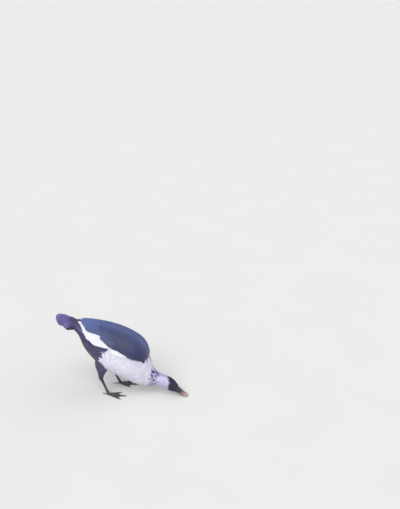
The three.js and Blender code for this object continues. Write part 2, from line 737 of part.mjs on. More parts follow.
function addLeg(name, side) {
  const y = side * legY;
  const step = legStep[name];
  const foot = new THREE.Vector3(sole.x + step, y, 0);
  const ankleX = ankle.x + step * 0.7;
  const shankTilt = degrees(Math.atan2(foot.x - ankleX, ankle.z - sole.z));
  const thigh = limb(
    [
      { x: hipX + 4, z: 168, fore: 37, wide: 27, tilt: 8 },
      { x: hipX + 2, z: 132, fore: 33, wide: 26, tilt: 12 },
      { x: hipX, z: 108, fore: 24, wide: 20, tilt: 18 },
      { x: lerp(hipX, ankleX, 0.7), z: 87, fore: 14, wide: 12, tilt: 24 },
      { x: ankleX, z: ankle.z, fore: 8.4, wide: 7.2, tilt: shankTilt },
    ],
    y,
    16,
  );
  addPiece(`thigh_${name}`, largest(thigh.subtract(trunkCutter)), "darkPlumage");

  const down = new THREE.Vector3(foot.x - ankleX, 0, sole.z - ankle.z).normalize();
  const along = (distance, fore, wide) => ({
    x: ankleX + down.x * distance,
    z: ankle.z + down.z * distance,
    fore,
    wide,
    tilt: shankTilt,
  });
  const length = Math.hypot(foot.x - ankleX, ankle.z - sole.z);
  const shank = limb(
    [
      along(joinGap, 7.4, 6),
      along(length * 0.14, 6.2, 5),
      along(length * 0.5, 5, 4),
      along(length * 0.85, 5, 4.2),
      along(length - joinGap, 5.6, 5),
    ],
    y,
    12,
  );
  addPiece(`shank_${name}`, shank, "legSkin");

  const stub = limb(
    [along(length, 5.6, 5), along(length + 6, 6.6, 6), along(length + 11, 6, 6)],
    y,
    12,
  );
  const solids = [stub];
  for (const toe of Object.values(toes)) solids.push(toeSolid(toe, foot, side));
  solids.push(webSolid(toes[2], toes[3], foot, side), webSolid(toes[3], toes[4], foot, side));
  addPiece(`foot_${name}`, largest(fuse(solids).subtract(underFloor)), "legSkin");
  for (const [number, toe] of Object.entries(toes)) {
    const claw = clawSolid(toe, foot, side).subtract(underFloor);
    addPiece(`claw_${name}_${number}`, largest(claw), "claw");
  }
}

for (const [name, side] of Object.entries(sides)) addLeg(name, side);

// The origin goes to the middle of the footprint box.
const box = new THREE.Box3().setFromObject(duck);
duck.position.x = -(box.min.x + box.max.x) / 2;
duck.position.y = -(box.min.y + box.max.y) / 2;

export default duck;
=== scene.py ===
"""A grazing muscovy duck, life size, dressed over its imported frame.

Lengths are in millimetres in the forms below and become metres where a mesh is made. The duck
faces +X, its left side is +Y and the floor is z = 0.
"""

import json
import logging
import math
from collections.abc import Callable, Sequence
from dataclasses import dataclass, field
from enum import Enum

import bmesh
import bpy
import numpy as np
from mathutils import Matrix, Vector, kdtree

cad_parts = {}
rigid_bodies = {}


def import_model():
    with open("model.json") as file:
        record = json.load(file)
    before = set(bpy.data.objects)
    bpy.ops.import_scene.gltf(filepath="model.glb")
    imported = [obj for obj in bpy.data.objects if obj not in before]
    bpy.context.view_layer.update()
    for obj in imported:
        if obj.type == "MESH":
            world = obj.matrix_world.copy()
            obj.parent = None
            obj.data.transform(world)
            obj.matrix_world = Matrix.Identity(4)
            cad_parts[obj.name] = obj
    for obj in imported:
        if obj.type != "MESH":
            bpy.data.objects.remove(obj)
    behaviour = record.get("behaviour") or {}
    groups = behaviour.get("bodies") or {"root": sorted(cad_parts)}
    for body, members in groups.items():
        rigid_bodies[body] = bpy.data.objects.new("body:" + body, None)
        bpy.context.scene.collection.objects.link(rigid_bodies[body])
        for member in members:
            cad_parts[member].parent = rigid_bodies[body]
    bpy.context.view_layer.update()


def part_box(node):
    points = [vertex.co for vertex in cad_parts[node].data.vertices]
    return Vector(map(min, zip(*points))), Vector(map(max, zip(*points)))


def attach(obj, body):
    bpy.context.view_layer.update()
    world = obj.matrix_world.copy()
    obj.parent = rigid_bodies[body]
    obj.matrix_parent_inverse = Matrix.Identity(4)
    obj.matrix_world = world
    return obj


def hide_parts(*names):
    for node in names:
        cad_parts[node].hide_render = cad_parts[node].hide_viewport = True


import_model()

Array = np.ndarray
Object = bpy.types.Object
Material = bpy.types.Material
Mesh = bpy.types.Mesh
Tree = bpy.types.NodeTree
Node = bpy.types.Node
Socket = bpy.types.NodeSocket
MM = 0.001
BAKE_MAP = "OFBake"
VANE_MAP = "vane"
LIE_NORMAL = "lie_normal"
MATH = "ShaderNodeMath"
SIDES = {"left": 1, "right": -1}

log = logging.getLogger("muscovy_duck")


class Slot(Enum):
    """The record's material slots."""

    DARK = "dark_plumage"
    WHITE = "white_plumage"
    MOTTLED = "mottled_plumage"
    BILL = "bill"
    LEG = "leg_skin"
    CLAW = "claw"
    EYE = "eye"


class Zone(Enum):
    """Parts of the body's coat that are kept as pieces of their own."""

    PALE_LEFT = "left_pale_body_coat"
    PALE_RIGHT = "right_pale_body_coat"
    DARK_BODY = "dark_body_coat"
    NECK = "neck_coat"
    HEAD = "head_coat"


def linear(hex_colour: str) -> Array:
    """Turns an sRGB hex colour into linear red, green and blue.

    Args:
        hex_colour: six hex digits, such as "e2dff0".

    Returns:
        Three linear values from 0 to 1.
    """
    value = np.array([int(hex_colour[k : k + 2], 16) for k in (0, 2, 4)]) / 255
    return np.where(value <= 0.04045, value / 12.92, ((value + 0.055) / 1.055) ** 2.4)


def add_node(tree: Tree, kind: str, inputs: dict | None = None, **settings: object) -> Node:
    """Adds a node with its settings, its constants and its links.

    Args:
        tree: the tree that the node goes into.
        kind: the node's type name.
        inputs: a constant or an output socket for each input, by name or number.
        **settings: the node's own properties.

    Returns:
        The node.
    """
    node = tree.nodes.new(kind)
    for name, value in settings.items():
        setattr(node, name, value)
    for key, value in (inputs or {}).items():
        if isinstance(value, Socket):
            tree.links.new(value, node.inputs[key])
        else:
            node.inputs[key].default_value = value
    return node


def blank_material(name: str) -> tuple[Material, Tree, Node]:
    """Makes a material that holds nothing but its shader.

    Args:
        name: what the finish really is.

    Returns:
        The material, its tree and its shader.
    """
    material = bpy.data.materials.new(name)
    material.use_nodes = True
    tree = material.node_tree
    return material, tree, tree.nodes["Principled BSDF"]


def set_constants(shader: Node, values: dict[str, float]) -> None:
    """Sets constants on a shader's sockets, by name."""
    for name, value in values.items():
        shader.inputs[name].default_value = value


def opaque(hex_colour: str, share: float = 1.0) -> tuple[float, ...]:
    """A hex colour as a socket's four values, darkened or lightened by a share."""
    return (*(linear(hex_colour) * share), 1.0)


def begin_tree(name: str, inputs: dict[str, str]) -> tuple[Tree, bpy.types.NodeOutputs]:
    """Begins a Geometry Nodes tree that copies the shapes of a collection.

    Args:
        name: the tree's name.
        inputs: the kind of each input's socket, by the input's name.

    Returns:
        The tree and the sockets that give its inputs.
    """
    tree = bpy.data.node_groups.new(name, "GeometryNodeTree")
    for key, kind in inputs.items():
        tree.interface.new_socket(key, in_out="INPUT", socket_type=f"NodeSocket{kind}")
    tree.interface.new_socket("Made", in_out="OUTPUT", socket_type="NodeSocketGeometry")
    return tree, add_node(tree, "NodeGroupInput").outputs


def end_tree(tree: Tree, geometry: Socket, material: Socket) -> None:
    """Ends a tree in Realize Instances and Set Material.

    Args:
        tree: the tree.
        geometry: what it has made.
        material: the input that gives the finish.
    """
    real = add_node(tree, "GeometryNodeRealizeInstances", {"Geometry": geometry}).outputs[0]
    dressed_up = add_node(tree, "GeometryNodeSetMaterial", {"Geometry": real, "Material": material})
    add_node(tree, "NodeGroupOutput", {0: dressed_up.outputs[0]})


def run_tree(made: Object, tree: Tree, values: dict[str, object]) -> Object:
    """Runs a tree on an object and keeps the result as a plain mesh.

    Args:
        made: the object.
        tree: the tree.
        values: the tree's inputs by name. They are set by their sockets' identifiers.

    Returns:
        The same object.
    """
    modifier = made.modifiers.new(tree.name, "NODES")
    modifier.node_group = tree
    for item in tree.interface.items_tree:
        if item.in_out == "INPUT" and item.name in values:
            modifier[item.identifier] = values[item.name]
    return applied(made)


def store(mesh: Mesh, name: str, kind: str, data: Array) -> None:
    """Writes one value for each point of a mesh as a named attribute.

    Args:
        mesh: the mesh.
        name: the attribute's name.
        kind: FLOAT, INT, FLOAT_VECTOR or FLOAT_COLOR.
        data: the values, one row a point.
    """
    keys = {"FLOAT_VECTOR": "vector", "FLOAT_COLOR": "color"}
    if kind == "FLOAT_COLOR":
        data = np.concatenate([data, np.ones((len(data), 1))], 1)
    attribute = mesh.attributes.new(name, kind, "POINT")
    attribute.data.foreach_set(keys.get(kind, "value"), np.ravel(data))


def make_mesh(name: str, points: Array, faces: Sequence, smooth: bool = True) -> Object:
    """Makes a mesh object from points in millimetres of the duck's own frame.

    Args:
        name: the object's name.
        points: one row a point.
        faces: lists of point numbers.
        smooth: whether the faces are shaded smooth.

    Returns:
        The object, linked to the scene.
    """
    mesh = bpy.data.meshes.new(name)
    mesh.from_pydata((points * MM).tolist(), [], [list(map(int, f)) for f in faces])
    if smooth:
        mesh.shade_smooth()
    made = bpy.data.objects.new(name, mesh)
    bpy.context.scene.collection.objects.link(made)
    return made


def grid_faces(rows: int, columns: int, closed: bool = False, start: int = 0) -> list:
    """Lists the quads of a grid of points that is stored row by row.

    Args:
        rows: number of rows of points.
        columns: number of points in a row.
        closed: whether each row's last point joins its first.
        start: number of the grid's first point.

    Returns:
        Lists of four point numbers.
    """
    last = columns if closed else columns - 1
    row, column = np.meshgrid(np.arange(rows - 1), np.arange(last), indexing="ij")
    after = (column + 1) % columns
    a = start + row * columns + column
    b = start + row * columns + after
    return np.stack([a, b, b + columns, a + columns], -1).reshape(-1, 4).tolist()


def sheet_faces(rows: int, columns: int) -> list:
    """Lists the faces of a thin closed sheet.

    Args:
        rows: number of rows of points on each of its two sides.
        columns: number of points in a row.

    Returns:
        Quads over one side's points, the other side's after them, and the rim between them.
    """
    size = rows * columns
    number = np.arange(size).reshape(rows, columns)
    rim = [*number[0], *number[1:, -1], *number[-1, -2::-1], *number[-2:0:-1, 0]]
    faces = grid_faces(rows, columns) + grid_faces(rows, columns, start=size)
    return faces + [[a, b, b + size, a + size] for a, b in zip(rim, rim[1:] + rim[:1])]


def dressed(made: Object, material: Material) -> Object:
    """Gives an object its one material.

    Args:
        made: the object.
        material: the finish.

    Returns:
        The same object.
    """
    made.data.materials.clear()
    made.data.materials.append(material)
    return made


def finished(made: Object, *nodes: str, slot: Slot | None = None) -> None:
    """Sets a finished piece on the frame.

    Args:
        made: the piece.
        *nodes: the frame's nodes that it stands for.
        slot: the record's slot for the piece's finish. It is not used.
    """
    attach(made, "root")
    if nodes:
        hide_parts(*nodes)
    triangles = sum(len(f.vertices) - 2 for f in made.data.polygons)
    log.info("%s: %d triangles", made.name, triangles)


def applied(made: Object) -> Object:
    """Turns an object and its modifiers into a plain mesh, and drops the modifiers.

    Args:
        made: the object.

    Returns:
        The same object.
    """
    graph = bpy.context.evaluated_depsgraph_get()
    mesh = bpy.data.meshes.new_from_object(made.evaluated_get(graph), depsgraph=graph)
    made.modifiers.clear()
    made.data = mesh
    return made


def nearest(points: Array, places: Sequence) -> list[int]:
    """Finds the nearest of some points.

    Args:
        points: one row a point.
        places: where to look from.

    Returns:
        The number of the nearest point to each place.
    """
    tree = kdtree.KDTree(len(points))
    for k, point in enumerate(points):
        tree.insert(point, k)
    tree.balance()
    return [tree.find(place)[1] for place in places]


def smooth_table(values: Array, at: Array) -> Array:
    """Reads a smooth curve through the rows of a table.

    Args:
        values: one row for each whole number.
        at: the fractional rows to read.

    Returns:
        One row for each value of at.
    """
    last = len(values) - 1
    at = np.clip(at, 0, last)
    low = np.minimum(at.astype(int), last - 1)
    t = (at - low)[..., None]
    before, start, end, after = (values[np.clip(low + k, 0, last)] for k in (-1, 0, 1, 2))
    t2, t3 = t * t, t * t * t
    return (
        start * (2 * t3 - 3 * t2 + 1)
        + (end - before) / 2 * (t3 - 2 * t2 + t)
        + end * (3 * t2 - 2 * t3)
        + (after - start) / 2 * (t3 - t2)
    )


def bell(value: Array, middle: float, width: float) -> Array:
    """A smooth bump of height one."""
    return np.exp(-(((value - middle) / width) ** 2))


def ripple(first: Array, second: Array, seed: int, scale: float = 1.0) -> Array:
    """Smooth, seeded variation over two coordinates, from about -1 to 1.

    Args:
        first: the first coordinate.
        second: the second one, in the same units.
        seed: picks the pattern.
        scale: how many waves there are to a unit.

    Returns:
        The variation, in the shape of the coordinates.
    """
    draw = np.random.default_rng(seed)
    total = np.zeros(np.broadcast(first, second).shape)
    for turn, size, phase in draw.uniform(0, 1, (9, 3)):
        wave = scale * 2 * math.pi * (0.4 + size)
        across = first * math.cos(turn * math.pi) + second * math.sin(turn * math.pi)
        total = total + np.sin(across * wave + phase * 2 * math.pi)
    return total / 3.6


@dataclass(frozen=True)
class Section:
    """One cross section of the body: its back and belly as [x, z], and its half width."""

    back: tuple[float, float]
    belly: tuple[float, float]
    half_width: float
    widest: float


@dataclass
class BodyForm:
    """The body's outer form. A place counts sections from the rump (0) to the face (15), and an
    angle goes round the body from the back (0) over the left side (90) to the belly (180)."""

    sections: dict[str, Section] = field(
        default_factory=lambda: {
            "tail_end": Section((-221, 295), (-223, 291), 27, 0.5),
            "tail_base": Section((-205, 292), (-209, 281), 29, 0.5),
            "rump": Section((-188, 291), (-180, 260), 28, 0.5),
            "vent": Section((-164, 292), (-146, 227), 43, 0.52),
            "hips": Section((-133, 289), (-125, 177), 63, 0.54),
            "thighs": Section((-90, 285), (-94, 141), 80, 0.52),
            "belly": Section((-45, 277), (-62, 113), 89, 0.5),
            "waist": Section((0, 266), (-29, 93), 92, 0.48),
            "keel": Section((43, 249), (4, 76), 89, 0.47),
            "breast": Section((80, 227), (36, 60), 81, 0.48),
            "crop": Section((105, 194), (62, 46), 66, 0.5),
            "neck_base": Section((118, 159), (85, 36), 51, 0.5),
            "low_neck": Section((127, 128), (106, 32), 38, 0.5),
            "mid_neck": Section((139, 103), (127, 33), 29, 0.5),
            "nape": Section((158, 88), (146, 36), 23.5, 0.5),
            "cheek": Section((188, 80), (167, 35), 22, 0.5),
            "eyes": Section((214, 65), (191, 24), 20.5, 0.52),
            "face": Section((235, 44), (216, 13), 15.5, 0.5),
        }
    )
    tail_sections: int = 2
    rump_x: float = -188.0
    shift: float = field(init=False)

    def __post_init__(self) -> None:
        """Reads where the frame holds the torso, and tables the sections."""
        self.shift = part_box("torso")[0].x / MM - self.rump_x
        self.table = np.array(
            [(*s.back, *s.belly, s.half_width, s.widest) for s in self.sections.values()]
        )
        self.table[:, (0, 2)] += self.shift

    @property
    def last_place(self) -> float:
        """The face's place."""
        return float(len(self.table) - 1 - self.tail_sections)

    def skin(self, place: Array, angle: Array) -> Array:
        """Points on the outer form.

        Args:
            place: places along the body.
            angle: angles round it, in degrees.

        Returns:
            Points in mm, in the last axis.
        """
        place, angle = np.broadcast_arrays(place, np.radians(angle))
        found = smooth_table(self.table, place + self.tail_sections)
        back, belly = found[..., 0:2], found[..., 2:4]
        centre = belly + (back - belly) * found[..., 5:6]
        up = np.cos(angle)[..., None]
        flat = centre + (np.where(up > 0, back, belly) - centre) * np.abs(up)
        return np.stack([flat[..., 0], found[..., 4] * np.sin(angle), flat[..., 1]], -1)

    def normal(self, place: Array, angle: Array) -> Array:
        """Outward directions of the outer form.

        Args:
            place: places along the body.
            angle: angles round it, in degrees.

        Returns:
            Unit directions.
        """
        place = np.clip(place, -self.tail_sections + 0.03, self.last_place - 0.03)
        along = self.skin(place + 0.02, angle) - self.skin(place - 0.02, angle)
        around = self.skin(place, angle + 1.0) - self.skin(place, angle - 1.0)
        outward = np.cross(along, around)
        return outward / np.linalg.norm(outward, axis=-1, keepdims=True)

    def point(self, place: Array, angle: Array, lift: Array | float = 0.0) -> Array:
        """Points off the outer form, lifted along its normal."""
        lift = np.asarray(lift, float)[..., None]
        return self.skin(place, angle) + self.normal(place, angle) * lift

    def taper(self, place: Array) -> Array:
        """How far the face draws in towards the bill, in mm."""
        share = np.clip((place - 14.45) / 0.55, 0, 1)
        return 2.4 * share * share

    def holds(self, points: Array, margin: float) -> Array:
        """Whether points lie inside the outer form, deeper than a margin in mm.

        Args:
            points: points in mm.
            margin: the depth.

        Returns:
            A truth value for each point.
        """
        place, angle = np.meshgrid(np.linspace(0, 9, 90), np.arange(0, 360, 4.0), indexing="ij")
        shell = self.skin(place, angle).reshape(-1, 3)
        outward = self.normal(place, angle).reshape(-1, 3)
        near = nearest(shell, points)
        return np.sum((points - shell[near]) * outward[near], -1) < -margin


@dataclass
class Palette:
    """Plumage and skin colours of a pied muscovy in cool daylight."""

    white: str = "e8e5f4"
    snow: str = "e6e5ec"
    # The grey that the white takes, partly as uneven tone and partly as painted shade.
    shade: str = "cfcae2"
    slate: str = "2b3158"
    teal: str = "4c5b90"
    violet: str = "332f60"
    plum: str = "3a3560"
    brown: str = "4b4468"
    mottle: str = "46417a"
    pale: str = "c3bde8"
    lilac: str = "b4afda"
    black: str = "1c1a3e"
    tail: str = "686394"
    covert: str = "564e88"
    rump: str = "35294f"
    bare: str = "2e2234"


@dataclass
class Markings:
    """Where the plumage is white, pale, mottled or dark, by place and angle."""

    palette: Palette = field(default_factory=Palette)

    def mix(self, low: Array, high: str | Array, share: Array) -> Array:
        """Blends colours by a share that is clipped to 0 and 1.

        Args:
            low: the colours at a share of 0.
            high: the colours at a share of 1.
            share: the shares.

        Returns:
            Linear colours.
        """
        high = linear(high) if isinstance(high, str) else high
        share = np.clip(share, 0, 1)[..., None]
        return low + (high - low) * share

    def dark_back(self, place: Array, angle: Array) -> Array:
        """Colours of the dark back: violet at the shoulder, slate, then teal behind, with a paler teal along
        the ridge as a painted highlight.

        Args:
            place: places along the body.
            angle: angles round it, in degrees.

        Returns:
            Linear colours.
        """
        base = np.broadcast_to(linear(self.palette.slate), (*np.shape(place), 3))
        wave = ripple(place, angle / 25, 3, 0.25)
        found = self.mix(base, self.palette.violet, (place - 6.0) / 2.2 + 0.25 * wave)
        found = self.mix(found, self.palette.teal, (4.6 - place) / 2.4 + 0.3 * wave)
        # Painted highlight: a paler teal along the back's ridge stands for the sky's reflection in the gloss.
        found = self.mix(found, self.palette.teal, 0.8 * bell(angle, 0, 15))
        return self.mix(found, self.palette.plum, (2.0 - place) / 0.7)

    def body(self, place: Array, angle: Array, ragged: float = 1.0) -> Array:
        """Colours of body, neck and head plumage.

        Args:
            place: places along the body.
            angle: angles round it, negative on the right side.
            ragged: how far edges wander, feather by feather.

        Returns:
            Linear colours, one row a point.
        """
        place, angle = np.broadcast_arrays(np.asarray(place, float), np.asarray(angle, float))
        side = np.abs(((angle + 180) % 360) - 180)
        wander = ragged * (
            0.22 * ripple(place, angle / 30, 7, 0.9) + 0.1 * ripple(place * 3, angle / 9, 8, 0.9)
        )
        place = place + wander * np.interp(place, [-2, 2, 12.5, 13.2], [0.2, 1, 1, 0.35])
        found = np.broadcast_to(linear(self.palette.white), (*place.shape, 3))
        # The white takes an uneven grey, partly uneven tone and partly painted shade: it stays pure round the
        # middle of the flank and greys towards the belly and the back.
        found = self.mix(found, self.palette.shade, 0.3 + 0.22 * ripple(place, angle / 25, 5, 0.5))
        found = self.mix(found, self.palette.white, bell(side, 95, 45))
        rear = np.interp(
            side, [60, 64, 69, 73, 78, 86, 99, 111, 125, 180],
            [4.5, 4.95, 4.75, 4.45, 4.27, 4.14, 4.0, 4.17, 4.25, 3.8],
        )
        vent = np.broadcast_to(linear(self.palette.brown), found.shape)
        vent = self.mix(vent, self.palette.slate, (90 - side) / 50)
        found = self.mix(found, vent, (rear - place) * 14)
        front = np.interp(side, [0, 20, 35, 50, 60], [9.0, 8.85, 8.45, 8.2, 0])
        found = self.mix(found, self.dark_back(place, angle), (front - place) * 14)
        spots = ripple(place * 1.4, angle / 24, 21, 1.0) + ripple(place * 3, angle / 12, 22, 0.9) * 0.6
        spots += 1.8 * bell(place, 10.75, 0.34) * bell(side, 51, 17)
        spots += 1.4 * bell(place, 11.4, 0.4) * bell(side, 2, 16)
        spots += 1.1 * bell(place, 12.0, 0.3) * bell(side, 25, 12)
        within = np.clip((place - 10.35) * 3, 0, 1) * np.clip((12.35 - place) * 3, 0, 1)
        tint = 0.6 + 0.5 * ripple(place * 2, angle / 20, 24, 0.8)
        found = self.mix(found, self.palette.lilac, within * tint)
        found = self.mix(found, self.palette.pale, np.clip((place - 11.9) * 1.8, 0, 0.75))
        found = self.mix(found, self.palette.mottle, within * (spots - 0.18) * 2.2)
        head = np.interp(side, [0, 60, 120, 180], [13.32, 13.48, 13.88, 14.06])
        return self.mix(found, self.palette.black, (place - head) * 9)


@dataclass
class Guide:
    """A surface that feathers lie on, addressed by two coordinates."""

    name: str
    first: tuple[float, float]
    second: tuple[float, float]
    at: Callable[[Array, Array], Array]
    onward: float = -1.0
    outward: float = 1.0
    rows: int = 160
    columns: int = 160

    def uv(self, a: Array, b: Array) -> Array:
        """The surface's own unwrap, kept just inside the unit square.

        Args:
            a: first coordinates.
            b: second coordinates.

        Returns:
            Two values for each point.
        """
        share = (a - self.first[0]) / (self.first[1] - self.first[0])
        turn = (b - self.second[0]) / (self.second[1] - self.second[0])
        return np.stack([0.02 + 0.96 * share, 0.02 + 0.96 * turn], -1)

    def scale(self) -> Array:
        """Unwrap lengths for one unit of each coordinate."""
        return 0.96 / np.array([self.first[1] - self.first[0], self.second[1] - self.second[0]])

    def slopes(self, a: Array, b: Array) -> tuple[Array, Array, Array]:
        """Steps in millimetres for one unit of each coordinate, and the outward direction.

        Args:
            a: first coordinates.
            b: second coordinates.

        Returns:
            Both steps, and unit directions.
        """
        da = (self.first[1] - self.first[0]) * 1e-3
        db = (self.second[1] - self.second[0]) * 1e-3
        a = np.clip(a, self.first[0] + da, self.first[1] - da)
        b = np.clip(b, self.second[0] + db, self.second[1] - db)
        along = (self.at(a + da, b) - self.at(a - da, b)) / (2 * da)
        around = (self.at(a, b + db) - self.at(a, b - db)) / (2 * db)
        out = np.cross(along, around) * self.outward
        return along, around, out / np.linalg.norm(out, axis=-1, keepdims=True)

    def steps(self, a: Array, b: Array, vector: Array) -> Array:
        """Coordinate steps that come nearest to steps in millimetres.

        Args:
            a: first coordinates.
            b: second coordinates.
            vector: the steps in millimetres.

        Returns:
            Steps of both coordinates.
        """
        along, around, _ = self.slopes(a, b)
        aa, ab, bb = (np.sum(x * y, -1) for x, y in ((along, along), (along, around), (around, around)))
        va, vb = np.sum(vector * along, -1), np.sum(vector * around, -1)
        scale = aa * bb - ab * ab
        return np.stack([(bb * va - ab * vb) / scale, (aa * vb - ab * va) / scale], -1)

    def heading(self, a: Array, b: Array, drift: Array) -> Array:
        """Directions that feathers lie in, turned by drift degrees from straight back.

        Args:
            a: first coordinates.
            b: second coordinates.
            drift: the turns in degrees.

        Returns:
            Unit directions.
        """
        along, _, out = self.slopes(a, b)
        ahead = along * self.onward
        ahead = ahead / np.linalg.norm(ahead, axis=-1, keepdims=True)
        turn = np.radians(drift)[..., None]
        return ahead * np.cos(turn) + np.cross(out, ahead) * np.sin(turn)

    def object(self) -> Object:
        """The surface as a mesh with its unwrap and outward directions.

        Returns:
            The object.
        """
        a, b = np.meshgrid(
            np.linspace(*self.first, self.rows), np.linspace(*self.second, self.columns), indexing="ij"
        )
        a, b = a.ravel(), b.ravel()
        faces = grid_faces(self.rows, self.columns)
        made = make_mesh(self.name, self.at(a, b), faces)
        mesh = made.data
        store(mesh, "outward", "FLOAT_VECTOR", self.slopes(a, b)[2])
        corner = np.empty(len(mesh.loops), np.int32)
        mesh.loops.foreach_get("vertex_index", corner)
        layer = mesh.uv_layers.new(name="lie")
        layer.uv.foreach_set("vector", self.uv(a, b)[corner].ravel())
        return made


@dataclass
class Feathers:
    """A run of feathers for one guide, one row each."""

    root: Array
    along: Array
    across: Array
    rise: Array
    colour: Array
    flare: Array
    full: Array
    kind: Array

    @staticmethod
    def lying(
        guide: Guide, a: Array, b: Array, length: Array, half_width: Array, drift: Array,
        rise: Array, colour: Array, kinds: int, seed: int,
    ) -> "Feathers":
        """Feathers that lie back from their roots.

        Args:
            guide: the surface.
            a: first coordinates of the roots.
            b: second coordinates of the roots.
            length: lengths in mm.
            half_width: half widths in mm.
            drift: degrees that each turns from straight back.
            rise: heights of root and tip and the sideways tilt, in mm.
            colour: linear colours.
            kinds: how many shapes there are to pick from.
            seed: picks the shapes.

        Returns:
            The feathers.
        """
        ahead = guide.heading(a, b, drift)
        _, around, out = guide.slopes(a, b)
        along = guide.steps(a, b, ahead * length[:, None])
        across = guide.steps(a, b, np.cross(out, ahead) * half_width[:, None])
        _, tip_around, _ = guide.slopes(a + along[:, 0], b + along[:, 1])
        flare = np.linalg.norm(around, axis=-1) / np.linalg.norm(tip_around, axis=-1)
        kind = np.random.default_rng(seed).integers(0, kinds, len(a))
        root = np.stack([a, b], -1)
        return Feathers(root, along, across, rise, colour, flare.clip(0.6, 1.7), half_width, kind)

    @staticmethod
    def between(
        guide: Guide, root: Array, tip: Array, half_width: Array, rise: Array, colour: Array,
        kinds: int, seed: int,
    ) -> "Feathers":
        """Feathers that run from given roots to given tips, both in the guide's coordinates.

        Args:
            guide: the surface.
            root: the roots.
            tip: the tips.
            half_width: half widths in mm.
            rise: heights of root and tip and the sideways tilt, in mm.
            colour: linear colours.
            kinds: how many shapes there are to pick from.
            seed: picks the shapes.

        Returns:
            The feathers.
        """
        middle = (root + tip) / 2
        along, around, out = guide.slopes(middle[:, 0], middle[:, 1])
        step = tip - root
        ahead = along * step[:, :1] + around * step[:, 1:]
        ahead = ahead / np.linalg.norm(ahead, axis=-1, keepdims=True)
        across = guide.steps(middle[:, 0], middle[:, 1], np.cross(out, ahead) * half_width[:, None])
        sizes = [np.linalg.norm(guide.slopes(p[:, 0], p[:, 1])[1], axis=-1) for p in (root, middle, tip)]
        across = across * (sizes[1] / sizes[0])[:, None]
        kind = np.random.default_rng(seed).integers(0, kinds, len(root))
        return Feathers(root, step, across, rise, colour, sizes[0] / sizes[2], half_width, kind)

    @staticmethod
    def joined(runs: Sequence["Feathers"]) -> "Feathers":
        """Several runs as one."""
        names = Feathers.__dataclass_fields__
        return Feathers(*(np.concatenate([getattr(r, n) for r in runs]) for n in names))

    def shown(self) -> tuple[Array, Array]:
        """The guide's coordinates at the middle of the part that no other feather covers."""
        return tuple((self.root + self.along * 0.84).T)

    def where(self, keep: Array) -> "Feathers":
        """The feathers that are picked by a mask."""
        return Feathers(*(getattr(self, n)[keep] for n in Feathers.__dataclass_fields__))


@dataclass(frozen=True)
class VaneShape:
    """A feather's outline, from root to tip and from edge to edge, and its relief in mm."""

    rows: int
    columns: tuple[float, ...]
    rounding: float = 0.3
    fray: float = 0.08
    tooth: float = 0.07
    base: float = 0.35
    widen: float = 1.3
    crown: float = 0.1
    dip: float = 0.1
    shaft: float = 0.0
    thick: float = 0.16
    seed: int = 1

    def object(self, name: str) -> Object:
        """The feather as a closed mesh, whose point places are kept as the attribute shape.

        Args:
            name: the object's name.

        Returns:
            The object.
        """
        draw = np.random.default_rng(self.seed)
        t = np.array(self.columns)
        n, m = len(t), self.rows
        ends = 1 - self.rounding * np.abs(t) ** 2.2 - self.fray * draw.uniform(0, 1, n)
        s = np.linspace(0, 1, m + 1)[:, None] * ends
        y = t * np.clip(self.base + s * self.widen, 0, 1)
        z = self.crown * (1 - y * y) + self.shaft * bell(t, 0, 0.05) * (1 - 0.7 * s)
        top = np.stack([s, y, z], -1)
        tips = (ends[1:] + ends[:-1]) / 2 + self.tooth * draw.uniform(0.2, 1.2, n - 1)
        teeth = np.stack([tips, (y[m, 1:] + y[m, :-1]) / 2, (z[m, 1:] + z[m, :-1]) / 2 - self.dip], -1)
        number = np.arange((m + 1) * n).reshape(m + 1, n)
        under = number.copy()
        inner = number[1:m, 1 : n - 1]
        first_tooth = number.size
        under[1:m, 1 : n - 1] = first_tooth + n - 1 + np.arange(inner.size).reshape(inner.shape)
        below = top[1:m, 1 : n - 1].reshape(-1, 3) - (0, 0, self.thick)
        points = np.concatenate([top.reshape(-1, 3), teeth, below])
        faces = []
        for grid, way in ((number, 1), (under, -1)):
            for j in range(m):
                for k in range(n - 1):
                    tooth = [first_tooth + k] if j == m - 1 else []
                    face = [grid[j, k], grid[j + 1, k], *tooth, grid[j + 1, k + 1], grid[j, k + 1]]
                    faces.append(face[::way])
        made = make_mesh(name, points / MM, faces)
        store(made.data, "shape", "FLOAT_VECTOR", points)
        self.mark_rim(made.data, number, first_tooth)
        return made

    def mark_rim(self, mesh: Mesh, number: Array, first_tooth: int) -> None:
        """Makes the outline a sharp edge, so that the thin vane shades cleanly.

        Args:
            mesh: the feather's mesh.
            number: numbers of the vane's points, row by row.
            first_tooth: number of the first point between the barbs at the tip.
        """
        n = number.shape[1]
        rim = [*number[0], *number[1:, -1]]
        for k in range(n - 2, -1, -1):
            rim += [first_tooth + k, number[-1, k]]
        rim += list(number[-2:0:-1, 0])
        pairs = {frozenset((int(a), int(b))) for a, b in zip(rim, rim[1:] + rim[:1])}
        sharp = [frozenset(edge.vertices) in pairs for edge in mesh.edges]
        attribute = mesh.attributes.new("sharp_edge", "BOOLEAN", "EDGE")
        attribute.data.foreach_set("value", sharp)


